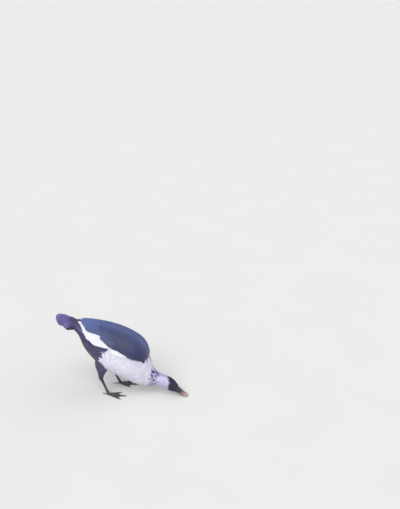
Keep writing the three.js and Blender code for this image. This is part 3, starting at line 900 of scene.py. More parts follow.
class Vane(Enum):
    """The kinds of feather, each with the shapes that it varies among."""

    CONTOUR = tuple(
        VaneShape(
            2, tuple(np.linspace(-1, 1, 15)), rounding=0.44, fray=0.06, tooth=0.13, crown=0.16, dip=0.2,
            seed=k,
        )
        for k in (1, 2, 3)
    )
    SMALL = tuple(
        VaneShape(
            2, tuple(np.linspace(-1, 1, 9)), rounding=0.5, fray=0.1, tooth=0.18, crown=0.16, dip=0.2, seed=k
        )
        for k in (14, 15, 16)
    )
    TUFT = tuple(
        VaneShape(
            2, (-1, -0.45, 0.1, 0.5, 1), rounding=0.4, fray=0.14, tooth=0.3, base=0.5, crown=0.12,
            dip=0.2, seed=k,
        )
        for k in (4, 5, 6)
    )
    FLUFF = tuple(
        VaneShape(4, (-1, -0.5, 0, 0.45, 1), rounding=0.45, fray=0.2, tooth=0.22, seed=k) for k in (7, 8, 9)
    )
    COVERT = tuple(
        VaneShape(
            6, (-1, -0.7, -0.35, -0.06, 0, 0.06, 0.4, 0.75, 1), fray=0.03, tooth=0.02, shaft=0.22, seed=k
        )
        for k in (10, 11)
    )
    FLIGHT = tuple(
        VaneShape(
            14, (-1, -0.75, -0.4, -0.06, 0, 0.06, 0.35, 0.7, 1), rounding=0.13, fray=0.006, tooth=0.004,
            base=0.3, widen=3.0, crown=0.35, shaft=0.4, thick=0.35, seed=k,
        )
        for k in (12, 13)
    )


class FeatherBench:
    """Lays feathers on guides with one Geometry Nodes tree."""

    INPUTS = {
        "Points": "Geometry", "Vanes": "Collection", "Guide": "Object", "Material": "Material",
        "Patch": "Float", "Millimetre": "Float",
    }
    CARRIED = ("root", "along", "across", "rise", "spread", "kind", "bake", "shape", "outward")

    def __init__(self) -> None:
        """Builds the tree and one collection for each kind of feather."""
        self.collections: dict[Vane, bpy.types.Collection] = {}
        for vane in Vane:
            group = bpy.data.collections.new(vane.name.lower())
            for k, shape in enumerate(vane.value):
                made = shape.object(f"{vane.name.lower()}_{k}")
                group.objects.link(made)
                bpy.context.scene.collection.objects.unlink(made)
            self.collections[vane] = group
        self.tree = self.build_tree()

    def build_tree(self) -> Tree:
        """Makes the tree that copies the vanes to the points and bends them over the guide.

        Returns:
            The tree.
        """
        tree, given = begin_tree("lay_feathers", self.INPUTS)
        stored = {}
        for name in (*self.CARRIED, "lie"):
            kind = "INT" if name == "kind" else "FLOAT_VECTOR"
            found = add_node(tree, "GeometryNodeInputNamedAttribute", {"Name": name}, data_type=kind)
            stored[name] = found.outputs[0]
        picks = add_node(
            tree, "GeometryNodeCollectionInfo",
            {"Collection": given["Vanes"], "Separate Children": True, "Reset Children": True},
        )
        copies = add_node(
            tree, "GeometryNodeInstanceOnPoints",
            {"Points": given["Points"], "Instance": picks.outputs[0], "Pick Instance": True,
             "Instance Index": stored["kind"]},
        )
        real = add_node(tree, "GeometryNodeRealizeInstances", {"Geometry": copies.outputs[0]})
        shape = add_node(tree, "ShaderNodeSeparateXYZ", {0: stored["shape"]}).outputs
        rise = add_node(tree, "ShaderNodeSeparateXYZ", {0: stored["rise"]}).outputs
        spread = add_node(tree, "ShaderNodeSeparateXYZ", {0: stored["spread"]}).outputs
        widened = add_node(tree, "ShaderNodeMix", {0: shape["X"], 2: 1.0, 3: spread["X"]})
        sideways = add_node(
            tree, MATH, {0: shape["Y"], 1: widened.outputs[0]}, operation="MULTIPLY"
        ).outputs[0]
        length_way = add_node(tree, "ShaderNodeCombineXYZ", {0: shape["X"], 1: shape["X"]})
        width_way = add_node(tree, "ShaderNodeCombineXYZ", {0: sideways, 1: sideways})
        here = stored["root"]
        for step, way in ((stored["along"], length_way), (stored["across"], width_way)):
            here = add_node(
                tree, "ShaderNodeVectorMath", {0: step, 1: way.outputs[0], 2: here}, operation="MULTIPLY_ADD"
            ).outputs[0]
        height = add_node(tree, "ShaderNodeMix", {0: shape["X"], 2: rise["X"], 3: rise["Y"]}).outputs[0]
        for step, way in ((rise["Z"], shape["Y"]), (shape["Z"], spread["Y"])):
            height = add_node(
                tree, MATH, {0: step, 1: way, 2: height}, operation="MULTIPLY_ADD"
            ).outputs[0]
        height = add_node(tree, MATH, {0: height, 1: given["Millimetre"]}, operation="MULTIPLY")
        surface = add_node(tree, "GeometryNodeObjectInfo", {"Object": given["Guide"]}).outputs["Geometry"]
        place = add_node(tree, "GeometryNodeInputPosition").outputs[0]
        sampled = []
        for value in (place, stored["outward"]):
            found = add_node(
                tree, "GeometryNodeSampleUVSurface",
                {0: surface, 1: value, 2: stored["lie"], 3: here}, data_type="FLOAT_VECTOR",
            )
            sampled.append(found.outputs[0])
        outward = add_node(tree, "ShaderNodeVectorMath", {0: sampled[1]}, operation="NORMALIZE").outputs[0]
        lifted = add_node(
            tree, "ShaderNodeVectorMath", {0: outward, "Scale": height.outputs[0]}, operation="SCALE"
        ).outputs[0]
        put = add_node(tree, "ShaderNodeVectorMath", {0: sampled[0], 1: lifted}, operation="ADD").outputs[0]
        moved = add_node(tree, "GeometryNodeSetPosition", {"Geometry": real.outputs[0], "Position": put})
        turned = add_node(
            tree, MATH, {0: shape["Y"], 1: 0.5, 2: 0.5}, operation="MULTIPLY_ADD"
        ).outputs[0]
        local = add_node(tree, "ShaderNodeCombineXYZ", {0: turned, 1: shape["X"]})
        patch = add_node(
            tree, "ShaderNodeVectorMath", {0: local.outputs[0], "Scale": given["Patch"]}, operation="SCALE"
        ).outputs[0]
        baked = add_node(
            tree, "ShaderNodeVectorMath", {0: stored["bake"], 1: patch}, operation="ADD"
        ).outputs[0]
        geometry = moved.outputs[0]
        for name, value, kind, domain in (
            (VANE_MAP, local.outputs[0], "FLOAT2", "CORNER"),
            (BAKE_MAP, baked, "FLOAT2", "CORNER"),
            (LIE_NORMAL, outward, "FLOAT_VECTOR", "POINT"),
        ):
            geometry = add_node(
                tree, "GeometryNodeStoreNamedAttribute", {"Geometry": geometry, "Name": name, "Value": value},
                data_type=kind, domain=domain,
            ).outputs[0]
        end_tree(tree, geometry, given["Material"])
        return tree

    def lay(
        self, name: str, guide: Guide, surface: Object, feathers: Feathers, vane: Vane,
        material: Material, patch: float = 0.003,
    ) -> Object:
        """Lays one run of feathers.

        Args:
            name: the piece's name.
            guide: the guide that the feathers' coordinates belong to.
            surface: the guide's own mesh.
            feathers: the feathers.
            vane: their kind.
            material: their finish.
            patch: size of each feather's patch in the bake map.

        Returns:
            The feathers as one plain mesh.
        """
        count = len(feathers.root)
        made = make_mesh(name, np.zeros((count, 3)), [])
        scale = guide.scale()
        flat = np.zeros((count, 1))
        root = guide.uv(feathers.root[:, 0], feathers.root[:, 1])
        vectors = {
            "root": np.concatenate([root, flat], 1),
            "bake": np.concatenate([root, flat], 1),
            "along": np.concatenate([feathers.along * scale, flat], 1),
            "across": np.concatenate([feathers.across * scale, flat], 1),
            "rise": feathers.rise,
            "spread": np.stack([feathers.flare, np.minimum(feathers.full * 0.25, 2.5), flat[:, 0]], -1),
        }
        for key, value in vectors.items():
            store(made.data, key, "FLOAT_VECTOR", value)
        store(made.data, "kind", "INT", feathers.kind)
        store(made.data, "plumage", "FLOAT_COLOR", feathers.colour)
        values = {"Vanes": self.collections[vane], "Guide": surface, "Material": material, "Patch": patch}
        run_tree(made, self.tree, values | {"Millimetre": MM})
        for key in self.CARRIED:
            found = made.data.attributes.get(key)
            if found:
                made.data.attributes.remove(found)
        return made

    def clear(self) -> None:
        """Removes the template feathers once every piece is plain mesh."""
        for group in self.collections.values():
            for made in list(group.objects):
                bpy.data.objects.remove(made)
            bpy.data.collections.remove(group)


def shingle(
    guide: Guide, start: float, stop: float, spacing: Callable[[float], float], seed: int
) -> tuple[Array, Array, Array]:
    """Roots in rows across a guide, each row half a step off the last.

    Args:
        guide: the surface.
        start: first coordinate of the foremost row.
        stop: first coordinate where the rows end.
        spacing: the distance between roots in mm, by first coordinate.
        seed: draws the small shifts.

    Returns:
        First coordinates, second coordinates and spacing of the roots.
    """
    draw = np.random.default_rng(seed)
    turns = np.linspace(*guide.second, 181)
    found = []
    at, row, way = start, 0, math.copysign(1, stop - start)
    while (stop - at) * way > 0:
        ring = guide.at(np.full(181, at), turns)
        run = np.concatenate([[0], np.cumsum(np.linalg.norm(np.diff(ring, axis=0), axis=1))])
        gap = spacing(at)
        count = max(3, round(run[-1] / gap))
        share = (np.arange(count) + 0.5 * (row % 2) + draw.uniform(-0.16, 0.16, count)) / count
        b = np.interp(share * run[-1], run, turns)
        along = np.linalg.norm(guide.slopes(np.full(count, at), b)[0], axis=-1)
        step = 0.78 * gap / float(np.mean(along))
        a = at + draw.uniform(-0.18, 0.18, count) * step
        local = gap * np.maximum(1, along * step / (0.78 * gap))
        found.append(np.stack([a, b, local], -1))
        at += way * step
        row += 1
    found = np.concatenate(found)
    return found[:, 0], found[:, 1], found[:, 2]


@dataclass(frozen=True)
class PlumageFinish:
    """Feather vanes: keratin barbs side by side, which gives a fine grain slanted away from a
    smooth shaft, a silky gloss on dark feathers and a soft matt white on pale ones. Real barbs
    lie about 0.3 mm apart. They are drawn about 1 to 2 mm apart, so that they show.

    Fringe brightens the tip. The covered brightness is painted shade: it darkens the part that other vanes
    lie over. Blend is how far the shading follows the whole coat instead of the single vane."""

    name: str
    roughness: float
    sheen: float
    barbs: float
    bump: float
    fringe: float
    covered: float = 0.8
    blend: float = 0.0
    vaned: bool = True

    def build(self) -> Material:
        """Makes the material. Its colour is the plumage attribute, varied along each vane.

        Returns:
            The material.
        """
        material, tree, shader = blank_material(self.name)
        colour = add_node(tree, "ShaderNodeAttribute", attribute_name="plumage").outputs["Color"]
        place = add_node(tree, "ShaderNodeTexCoord").outputs["Object"]
        # Feathers bleach and wear in patches of about 10 mm.
        wear = add_node(tree, "ShaderNodeTexNoise", {"Vector": place, "Scale": 90.0, "Detail": 3.0})
        shade = add_node(
            tree, "ShaderNodeMapRange", {0: wear.outputs["Fac"], 1: 0.3, 2: 0.7, 3: 0.86, 4: 1.08}
        ).outputs[0]
        if self.vaned:
            shade = self.vane(tree, shader, shade)
        tinted = add_node(tree, "ShaderNodeVectorMath", {0: colour, "Scale": shade}, operation="SCALE")
        tree.links.new(tinted.outputs[0], shader.inputs["Base Color"])
        # Keratin's index of refraction is about 1.54.
        gloss = {"Roughness": self.roughness, "Sheen Weight": self.sheen, "Sheen Roughness": 0.4}
        set_constants(shader, gloss | {"IOR": 1.54})
        return material

    def vane(self, tree: Tree, shader: Node, shade: Socket) -> Socket:
        """Adds shaft, barbs, the tip's fringe and painted shade on the covered root, and leans the shading to
        the coat's own lie.

        Args:
            tree: the material's tree.
            shader: takes the normal.
            shade: the brightness so far.

        Returns:
            The brightness with barbs, fringe and the painted shade at the root.
        """
        local = add_node(tree, "ShaderNodeUVMap", uv_map=VANE_MAP).outputs[0]
        split = add_node(tree, "ShaderNodeSeparateXYZ", {0: local}).outputs
        off = add_node(tree, MATH, {0: split["X"], 1: 0.5}, operation="SUBTRACT").outputs[0]
        off = add_node(tree, MATH, {0: off}, operation="ABSOLUTE").outputs[0]
        run = self.barbs * 2 * math.pi
        steps = (("MULTIPLY_ADD", -1.3, split["Y"]), ("MULTIPLY", run, 0.0), ("SINE", 0.0, 0.0))
        barb = off
        for operation, second, third in steps:
            barb = add_node(tree, MATH, {0: barb, 1: second, 2: third}, operation=operation).outputs[0]
        shaft = add_node(tree, "ShaderNodeMapRange", {0: off, 1: 0.012, 2: 0.03, 3: 1.0, 4: 0.0}).outputs[0]
        relief = add_node(tree, MATH, {0: shaft, 1: 2.0, 2: barb}, operation="MULTIPLY_ADD").outputs[0]
        grain = add_node(tree, MATH, {0: barb, 1: 0.035, 2: shade}, operation="MULTIPLY_ADD").outputs[0]
        # Painted shade: the root, which the next vanes cover, is darker; the tip's fringe is paler.
        tip = add_node(
            tree, "ShaderNodeMapRange",
            {0: split["Y"], 1: 0.25, 2: 0.95, 3: self.covered, 4: 1.0 + self.fringe},
        ).outputs[0]
        lie = add_node(tree, "ShaderNodeAttribute", attribute_name=LIE_NORMAL).outputs["Vector"]
        own = add_node(tree, "ShaderNodeNewGeometry").outputs["Normal"]
        soft = add_node(tree, "ShaderNodeMix", {0: self.blend, 4: own, 5: lie}, data_type="VECTOR").outputs[1]
        soft = add_node(tree, "ShaderNodeVectorMath", {0: soft}, operation="NORMALIZE").outputs[0]
        bump = {"Strength": self.bump, "Distance": 0.25 * MM, "Height": relief, "Normal": soft}
        tree.links.new(add_node(tree, "ShaderNodeBump", bump).outputs[0], shader.inputs["Normal"])
        return add_node(tree, MATH, {0: grain, 1: tip}, operation="MULTIPLY").outputs[0]


class Plumage(Enum):
    """The plumage's finishes."""

    # Dark contour feathers shine softly, as their melanin lies in smooth layers.
    DARK = PlumageFinish(
        "glossy_dark_vanes", roughness=0.42, sheen=0.04, barbs=16, bump=0.3, fringe=0.1,
        covered=0.85, blend=0.5,
    )
    # Stiff flight feathers are the smoothest, and shine the most.
    FLIGHT = PlumageFinish(
        "glossy_flight_vanes", roughness=0.38, sheen=0.03, barbs=60, bump=0.4, fringe=0.1
    )
    # White flight feathers scatter the light, which hides their gloss.
    PALE_FLIGHT = PlumageFinish(
        "white_flight_vanes", roughness=0.55, sheen=0.1, barbs=45, bump=0.4, fringe=0.0,
        covered=0.9, blend=0.2,
    )
    # White contour feathers end in down, which softens their edges to a matt bloom.
    WHITE = PlumageFinish(
        "matt_white_vanes", roughness=0.62, sheen=0.25, barbs=14, bump=0.2, fringe=0.02,
        covered=0.94, blend=0.7,
    )
    # The neck's feathers are small and loose, white or violet each.
    MOTTLED = PlumageFinish(
        "mottled_neck_vanes", roughness=0.6, sheen=0.25, barbs=10, bump=0.2, fringe=0.02,
        covered=0.92, blend=0.7,
    )
    # The head's tufts are short and dense, like velvet.
    TUFT = PlumageFinish(
        "short_head_vanes", roughness=0.52, sheen=0.12, barbs=5, bump=0.15, fringe=0.08,
        covered=0.85, blend=0.6,
    )
    # The skin below the coat is covered with down, dull and without a grain.
    DOWN = PlumageFinish(
        "downy_skin", roughness=0.8, sheen=0.3, barbs=1, bump=0.0, fringe=0.0, vaned=False
    )


Finishes = dict[Plumage, Material]


@dataclass(frozen=True)
class SkinFinish:
    """Bare skin or horn: mottled colour with pits and creases that bump the surface."""

    name: str
    low: str
    high: str
    roughness: float
    cell: float
    bump: float
    attribute: str = ""
    coat: float = 0.0

    def build(self) -> Material:
        """Makes the material, with its cells sized in millimetres.

        Returns:
            The material.
        """
        material, tree, shader = blank_material(self.name)
        place = add_node(tree, "ShaderNodeTexCoord").outputs["Object"]
        per_cell = 1 / (self.cell * MM)
        cells = add_node(tree, "ShaderNodeTexVoronoi", {"Vector": place, "Scale": per_cell})
        wide = {"Vector": place, "Scale": 0.12 * per_cell, "Detail": 4.0}
        cloud = add_node(tree, "ShaderNodeTexNoise", wide).outputs["Fac"]
        share = add_node(tree, "ShaderNodeMapRange", {0: cloud, 1: 0.35, 2: 0.65}).outputs[0]
        if self.attribute:
            share = add_node(tree, "ShaderNodeAttribute", attribute_name=self.attribute).outputs["Fac"]
            mixed = {0: cloud, 1: 0.5, 2: share}
            share = add_node(tree, MATH, mixed, operation="MULTIPLY_ADD").outputs[0]
            share = add_node(tree, "ShaderNodeMapRange", {0: share, 1: 0.25, 2: 1.2}).outputs[0]
        colours = {0: share, 6: opaque(self.low), 7: opaque(self.high)}
        mixed = add_node(tree, "ShaderNodeMix", colours, data_type="RGBA").outputs[2]
        tree.links.new(mixed, shader.inputs["Base Color"])
        creases = {"Strength": self.bump, "Distance": 0.2 * MM, "Height": cells.outputs["Distance"]}
        tree.links.new(add_node(tree, "ShaderNodeBump", creases).outputs[0], shader.inputs["Normal"])
        gloss = {"Roughness": self.roughness, "Coat Weight": self.coat, "Coat Roughness": 0.12}
        set_constants(shader, gloss)
        return material


class Bare(Enum):
    """The finishes of what no feather covers."""

    # Leg skin is leathery, with dry cells of about 1 mm.
    LEG = SkinFinish(
        "scaly_leg_skin", low="2b2628", high="514a4a", roughness=0.45, cell=1.1, bump=0.5
    )
    # Claws are worn smooth, with a dull polish.
    CLAW = SkinFinish(
        "claw_horn", low="1c1819", high="3a3232", roughness=0.3, cell=2.0, bump=0.15, coat=0.3
    )
    # The bill's horn is smooth under a faint wet gloss, and flesh-pale where its pale attribute is.
    BILL = SkinFinish(
        "bill_horn", low="2a2430", high="b08e8a", roughness=0.34, cell=1.6, bump=0.12,
        attribute="pale", coat=0.25,
    )
    # Face warts are moist knobs with a fine grain.
    WARTS = SkinFinish(
        "warty_face_skin", low="231826", high="48263a", roughness=0.42, cell=0.8, bump=0.4,
        coat=0.15,
    )


@dataclass(frozen=True)
class EyeFinish:
    """A wet eye: a black pupil in a dark brown iris under a clear, very glossy cornea."""

    name: str = "wet_brown_eye"
    pupil: str = "050404"
    iris: str = "4a2a14"
    rim: str = "140c0a"

    def build(self) -> Material:
        """Makes the material from the from_axis attribute, 0 at the pupil's middle.

        Returns:
            The material.
        """
        material, tree, shader = blank_material(self.name)
        off = add_node(tree, "ShaderNodeAttribute", attribute_name="from_axis").outputs["Fac"]
        ramp = add_node(tree, "ShaderNodeValToRGB", {0: off})
        stops = ((0.36, self.pupil), (0.41, self.iris), (0.66, self.iris), (0.74, self.rim))
        elements = ramp.color_ramp.elements
        elements.remove(elements[1])
        elements[0].color = opaque(self.pupil)
        for at, colour in stops:
            elements.new(at).color = opaque(colour)
        tree.links.new(ramp.outputs[0], shader.inputs["Base Color"])
        gloss = {"Roughness": 0.3, "Specular IOR Level": 0.1, "Coat Weight": 0.7, "Coat Roughness": 0.02}
        set_constants(shader, gloss)
        return material


@dataclass
class Skin:
    """One skin for torso, neck, head, thighs and tail base, sunk below the coat."""

    body: BodyForm
    markings: Markings
    around: int = 208
    lip_reach: float = 3.4

    def depth(self, place: Array) -> Array:
        """The coat's depth in mm."""
        at = [-2, -1, 0, 3, 8, 9.5, 12, 13.3, 14, 15]
        return np.interp(place, at, [0.8, 2, 3, 3.2, 3.2, 3, 2.2, 1.2, 0.8, 0.5])

    def places(self) -> Array:
        """Places of the rings, closer together on the head.

        Returns:
            The places, in order.
        """
        return np.concatenate(
            [np.linspace(-2, 12, 110), np.linspace(12, 13.4, 36)[1:], np.linspace(13.4, 15, 88)[1:]]
        )

    def lip(self, ring: Array, angle: Array, bill: "Bill") -> Array:
        """Rings that round off the face and close on the bill.

        Args:
            ring: the skin's last ring.
            angle: its angles.
            bill: the bill.

        Returns:
            The rings.
        """
        turn = np.linspace(0, math.pi / 2, 9)[1:, None, None]
        start = bill.outline(angle, 0.0)
        folds = 0.25 * np.sin(np.radians(angle) * 21)[None, :, None] * np.sin(turn * 2)
        onto = np.stack([bill.outline(angle, self.lip_reach * math.sin(t)) for t in turn.ravel()])
        return onto + (ring - start) * (np.cos(turn) + folds / 6)

    def build(
        self, face: "Face", bill: "Bill", thighs: list["Thigh"], material: Material
    ) -> Object:
        """Makes the skin.

        Args:
            face: gives the relief of the eyes' surrounds and brows, and the lids.
            bill: the skin closes on its root.
            thighs: joined to the body.
            material: the finish.

        Returns:
            The piece.
        """
        place, angle = np.meshgrid(
            self.places(), np.arange(self.around) * 360.0 / self.around, indexing="ij"
        )
        lift = -self.depth(place) * (1 - face.bareness(place, angle)) + face.relief(place, angle)
        lift = lift - self.body.taper(place)
        points = self.body.point(place, angle, lift)
        colours = self.markings.body(place, angle, 0.6)
        bare = face.bareness(place, angle)
        colours = self.markings.mix(colours, self.markings.palette.bare, bare * 1.4)
        points = np.concatenate([points, self.lip(points[-1], angle[-1], bill)])
        more = len(points) - len(colours)
        colours = np.concatenate([colours, np.repeat(colours[-1:], more, 0)])
        colours[-more:] = self.markings.mix(colours[-more:], self.markings.palette.bare, np.array(1.0))
        made = make_mesh("duck_skin", *loft(points))
        for thigh in thighs:
            limb = thigh.core()
            joint = made.modifiers.new("thigh", "BOOLEAN")
            joint.operation, joint.solver, joint.object = "UNION", "MANIFOLD", limb
            applied(made)
            bpy.data.objects.remove(limb)
        self.paint(made.data, points.reshape(-1, 3), colours.reshape(-1, 3))
        parts = [made]
        for side in SIDES.values():
            lid = face_outwards(make_mesh("lid", *face.lids(side)))
            bare_colour = linear(self.markings.palette.bare) * 0.6
            store(lid.data, "plumage", "FLOAT_COLOR", np.tile(bare_colour, (len(lid.data.vertices), 1)))
            parts.append(lid)
        for part in parts:
            part.data.shade_smooth()
            dressed(part, material)
        return joined("duck_skin", parts)

    def paint(self, mesh: Mesh, points: Array, colours: Array) -> None:
        """Gives each point of the mesh the colour of the nearest point of the body's rings."""
        near = nearest(points * MM, [v.co for v in mesh.vertices])
        store(mesh, "plumage", "FLOAT_COLOR", colours[near])


@dataclass
class Face:
    """Eyes, lids, brows and the bare skin round them."""

    body: BodyForm
    eye_place: float = 14.1
    eye_angle: float = 66.0
    eye_radius: float = 5.0
    eye_sink: float = 2.6
    opening: tuple[float, float] = (5.0, 4.1)
    lid_tube: float = 0.75
    cornea: float = 0.035

    def axes(self, side: int) -> tuple[Array, Array, Array, Array]:
        """The eye's middle, and the directions forwards, upwards and outwards from it.

        Args:
            side: 1 for left, -1 for right.

        Returns:
            A point and three unit directions.
        """
        place, angle = np.array(self.eye_place), np.array(side * self.eye_angle)
        out = self.body.normal(place, angle)
        ahead = self.body.skin(place + 0.02, angle) - self.body.skin(place - 0.02, angle)
        ahead = ahead - out * np.dot(ahead, out)
        ahead = ahead / np.linalg.norm(ahead)
        up = np.cross(out, ahead)
        up = up * np.sign(up[2])
        return self.body.point(place, angle, -self.eye_sink), ahead, up, out

    def round_eye(self, place: Array, angle: Array) -> tuple[Array, Array, Array]:
        """Distance from the eye's axis over the opening's size, and the forward and upward parts.

        Args:
            place: places along the body.
            angle: angles round it, in degrees.

        Returns:
            Three arrays, the last two in mm.
        """
        turn = ((angle + 180) % 360) - 180
        side = np.where(turn < 0, -1, 1)
        points = self.body.skin(place, angle)
        found = []
        for way in (1, -1):
            middle, ahead, up, _ = self.axes(way)
            away = points - middle
            found.append((away @ ahead, away @ up))
        forward = np.where(side > 0, found[0][0], found[1][0])
        upward = np.where(side > 0, found[0][1], found[1][1])
        near = np.hypot(forward / self.opening[0], upward / self.opening[1])
        near = np.where((place > 12.6) & (np.abs(turn) < 130), near, 9.0)
        return near, forward, upward

    def bareness(self, place: Array, angle: Array) -> Array:
        """1 where the skin is bare: round the eye and from it to the bill.

        Args:
            place: places along the body.
            angle: angles round it, in degrees.

        Returns:
            Shares from 0 to 1.
        """
        near, forward, upward = self.round_eye(place, angle)
        ring = np.clip((2.1 - near) * 3, 0, 1)
        band = np.clip((forward - 1) / 2, 0, 1) * np.clip((6.2 - np.abs(upward + 0.5)) / 1.5, 0, 1)
        band = np.where(near > 8.5, 0, band)
        return np.maximum(ring, band)

    def relief(self, place: Array, angle: Array) -> Array:
        """Lift of the skin in mm: socket, lid rims, folds, brow and the cheek behind the gape.

        Args:
            place: places along the body.
            angle: angles round it, in degrees.

        Returns:
            The lifts.
        """
        near, forward, upward = self.round_eye(place, angle)
        lift = -0.7 * bell(near, 0, 2.4) - 4.5 * np.clip((1.0 - near) * 6, 0, 1)
        lift += 0.9 * bell(near, 1.17, 0.15) - 0.35 * bell(near, 1.5, 0.13) + 0.35 * bell(near, 1.82, 0.16)
        lift += 1.1 * bell(upward, 6.6, 2.4) * bell(forward, 0, 7)
        wrinkle = ripple(forward / 2.2, upward / 2.2, 31, 0.8) * 0.2
        return np.where(near < 8.5, lift + wrinkle * np.clip(2.4 - near, 0, 1), 0.0)

    def lids(self, side: int) -> tuple[Array, list]:
        """A closed rim of skin that hugs the eyeball, thicker above.

        Args:
            side: 1 for left, -1 for right.

        Returns:
            Points and faces.
        """
        middle, ahead, up, out = self.axes(side)
        long_way, short_way = 72, 12
        turn = np.linspace(0, 2 * math.pi, long_way, endpoint=False)[:, None]
        ring = np.linspace(0, 2 * math.pi, short_way, endpoint=False)[None, :]
        wide, high = (s * 1.04 for s in self.opening)
        flat_x, flat_y = wide * np.cos(turn), high * np.sin(turn) - 0.25
        away = np.hypot(flat_x, flat_y)
        ride = np.sqrt(np.maximum(self.eye_radius**2 - np.minimum(away, 4.6) ** 2, 0)) + 0.35
        tube = self.lid_tube * (1 + 0.35 * np.sin(turn)) * (1 + 0.06 * np.sin(turn * 23))
        outwards = tube * np.cos(ring)
        grow = 1 + outwards / away
        x, y, z = flat_x * grow, flat_y * grow, ride + tube * np.sin(ring)
        points = middle + x[..., None] * ahead + y[..., None] * up + z[..., None] * out
        faces = np.array(grid_faces(long_way + 1, short_way, closed=True)) % (long_way * short_way)
        return points.reshape(-1, 3), [f[::side].tolist() for f in faces]

    def eye(self, name: str, side: int, material: Material) -> Object:
        """The eyeball with its cornea's bulge, and its distance from the axis as an attribute.

        Args:
            name: left or right.
            side: 1 for left, -1 for right.
            material: the finish.

        Returns:
            The piece.
        """
        middle, ahead, up, out = self.axes(side)
        rows, columns = 28, 36
        polar = np.linspace(0, math.pi, rows)[1:-1, None]
        turn = np.linspace(0, 2 * math.pi, columns, endpoint=False)[None, :]
        radius = self.eye_radius * (1 + self.cornea * bell(polar, 0, 0.55))
        x = radius * np.sin(polar) * np.cos(turn)
        y = radius * np.sin(polar) * np.sin(turn)
        z = radius * np.cos(polar) + 0 * turn
        points, faces = loft(middle + x[..., None] * ahead + y[..., None] * up + z[..., None] * out)
        points[-2] = middle + out * self.eye_radius * (1 + self.cornea)
        points[-1] = middle - out * self.eye_radius
        made = make_mesh(f"{name}_eyeball", points, [f[::-side] for f in faces])
        share = np.repeat(np.sin(np.minimum(polar, math.pi / 2)), columns)
        store(made.data, "from_axis", "FLOAT", np.concatenate([share, [0, 1]]))
        return dressed(made, material)


def face_outwards(made: Object) -> Object:
    """Turns the faces of closed shells outwards.

    Args:
        made: the object.

    Returns:
        The same object.
    """
    graph = bmesh.new()
    graph.from_mesh(made.data)
    bmesh.ops.remove_doubles(graph, verts=graph.verts, dist=1e-7)
    bmesh.ops.recalc_face_normals(graph, faces=graph.faces)
    graph.to_mesh(made.data)
    graph.free()
    return made


def on_floor(made: Object) -> None:
    """Flattens what would reach below the floor."""
    for vert in made.data.vertices:
        vert.co.z = max(vert.co.z, 0.05 * MM)


def joined(name: str, parts: Sequence[Object]) -> Object:
    """Joins several objects into one that bears the name.

    Args:
        name: the object's name.
        parts: the objects.

    Returns:
        The joined object.
    """
    with bpy.context.temp_override(
        active_object=parts[0], object=parts[0], selected_objects=parts, selected_editable_objects=parts
    ):
        bpy.ops.object.join()
    parts[0].name = name
    return parts[0]


def loft(rings: Array) -> tuple[Array, list]:
    """A closed shell through rings of equal count, capped by a fan at each end.

    Args:
        rings: points by ring, place in the ring and coordinate.

    Returns:
        The points and the faces.
    """
    rows, count = rings.shape[:2]
    points = np.concatenate([rings.reshape(-1, 3), rings[[0, -1]].mean(1)])
    faces = grid_faces(rows, count, closed=True)
    first, last, final = rows * count, rows * count + 1, (rows - 1) * count
    for k in range(count):
        after = (k + 1) % count
        faces.append([first, after, k])
        faces.append([last, final + k, final + after])
    return points, faces


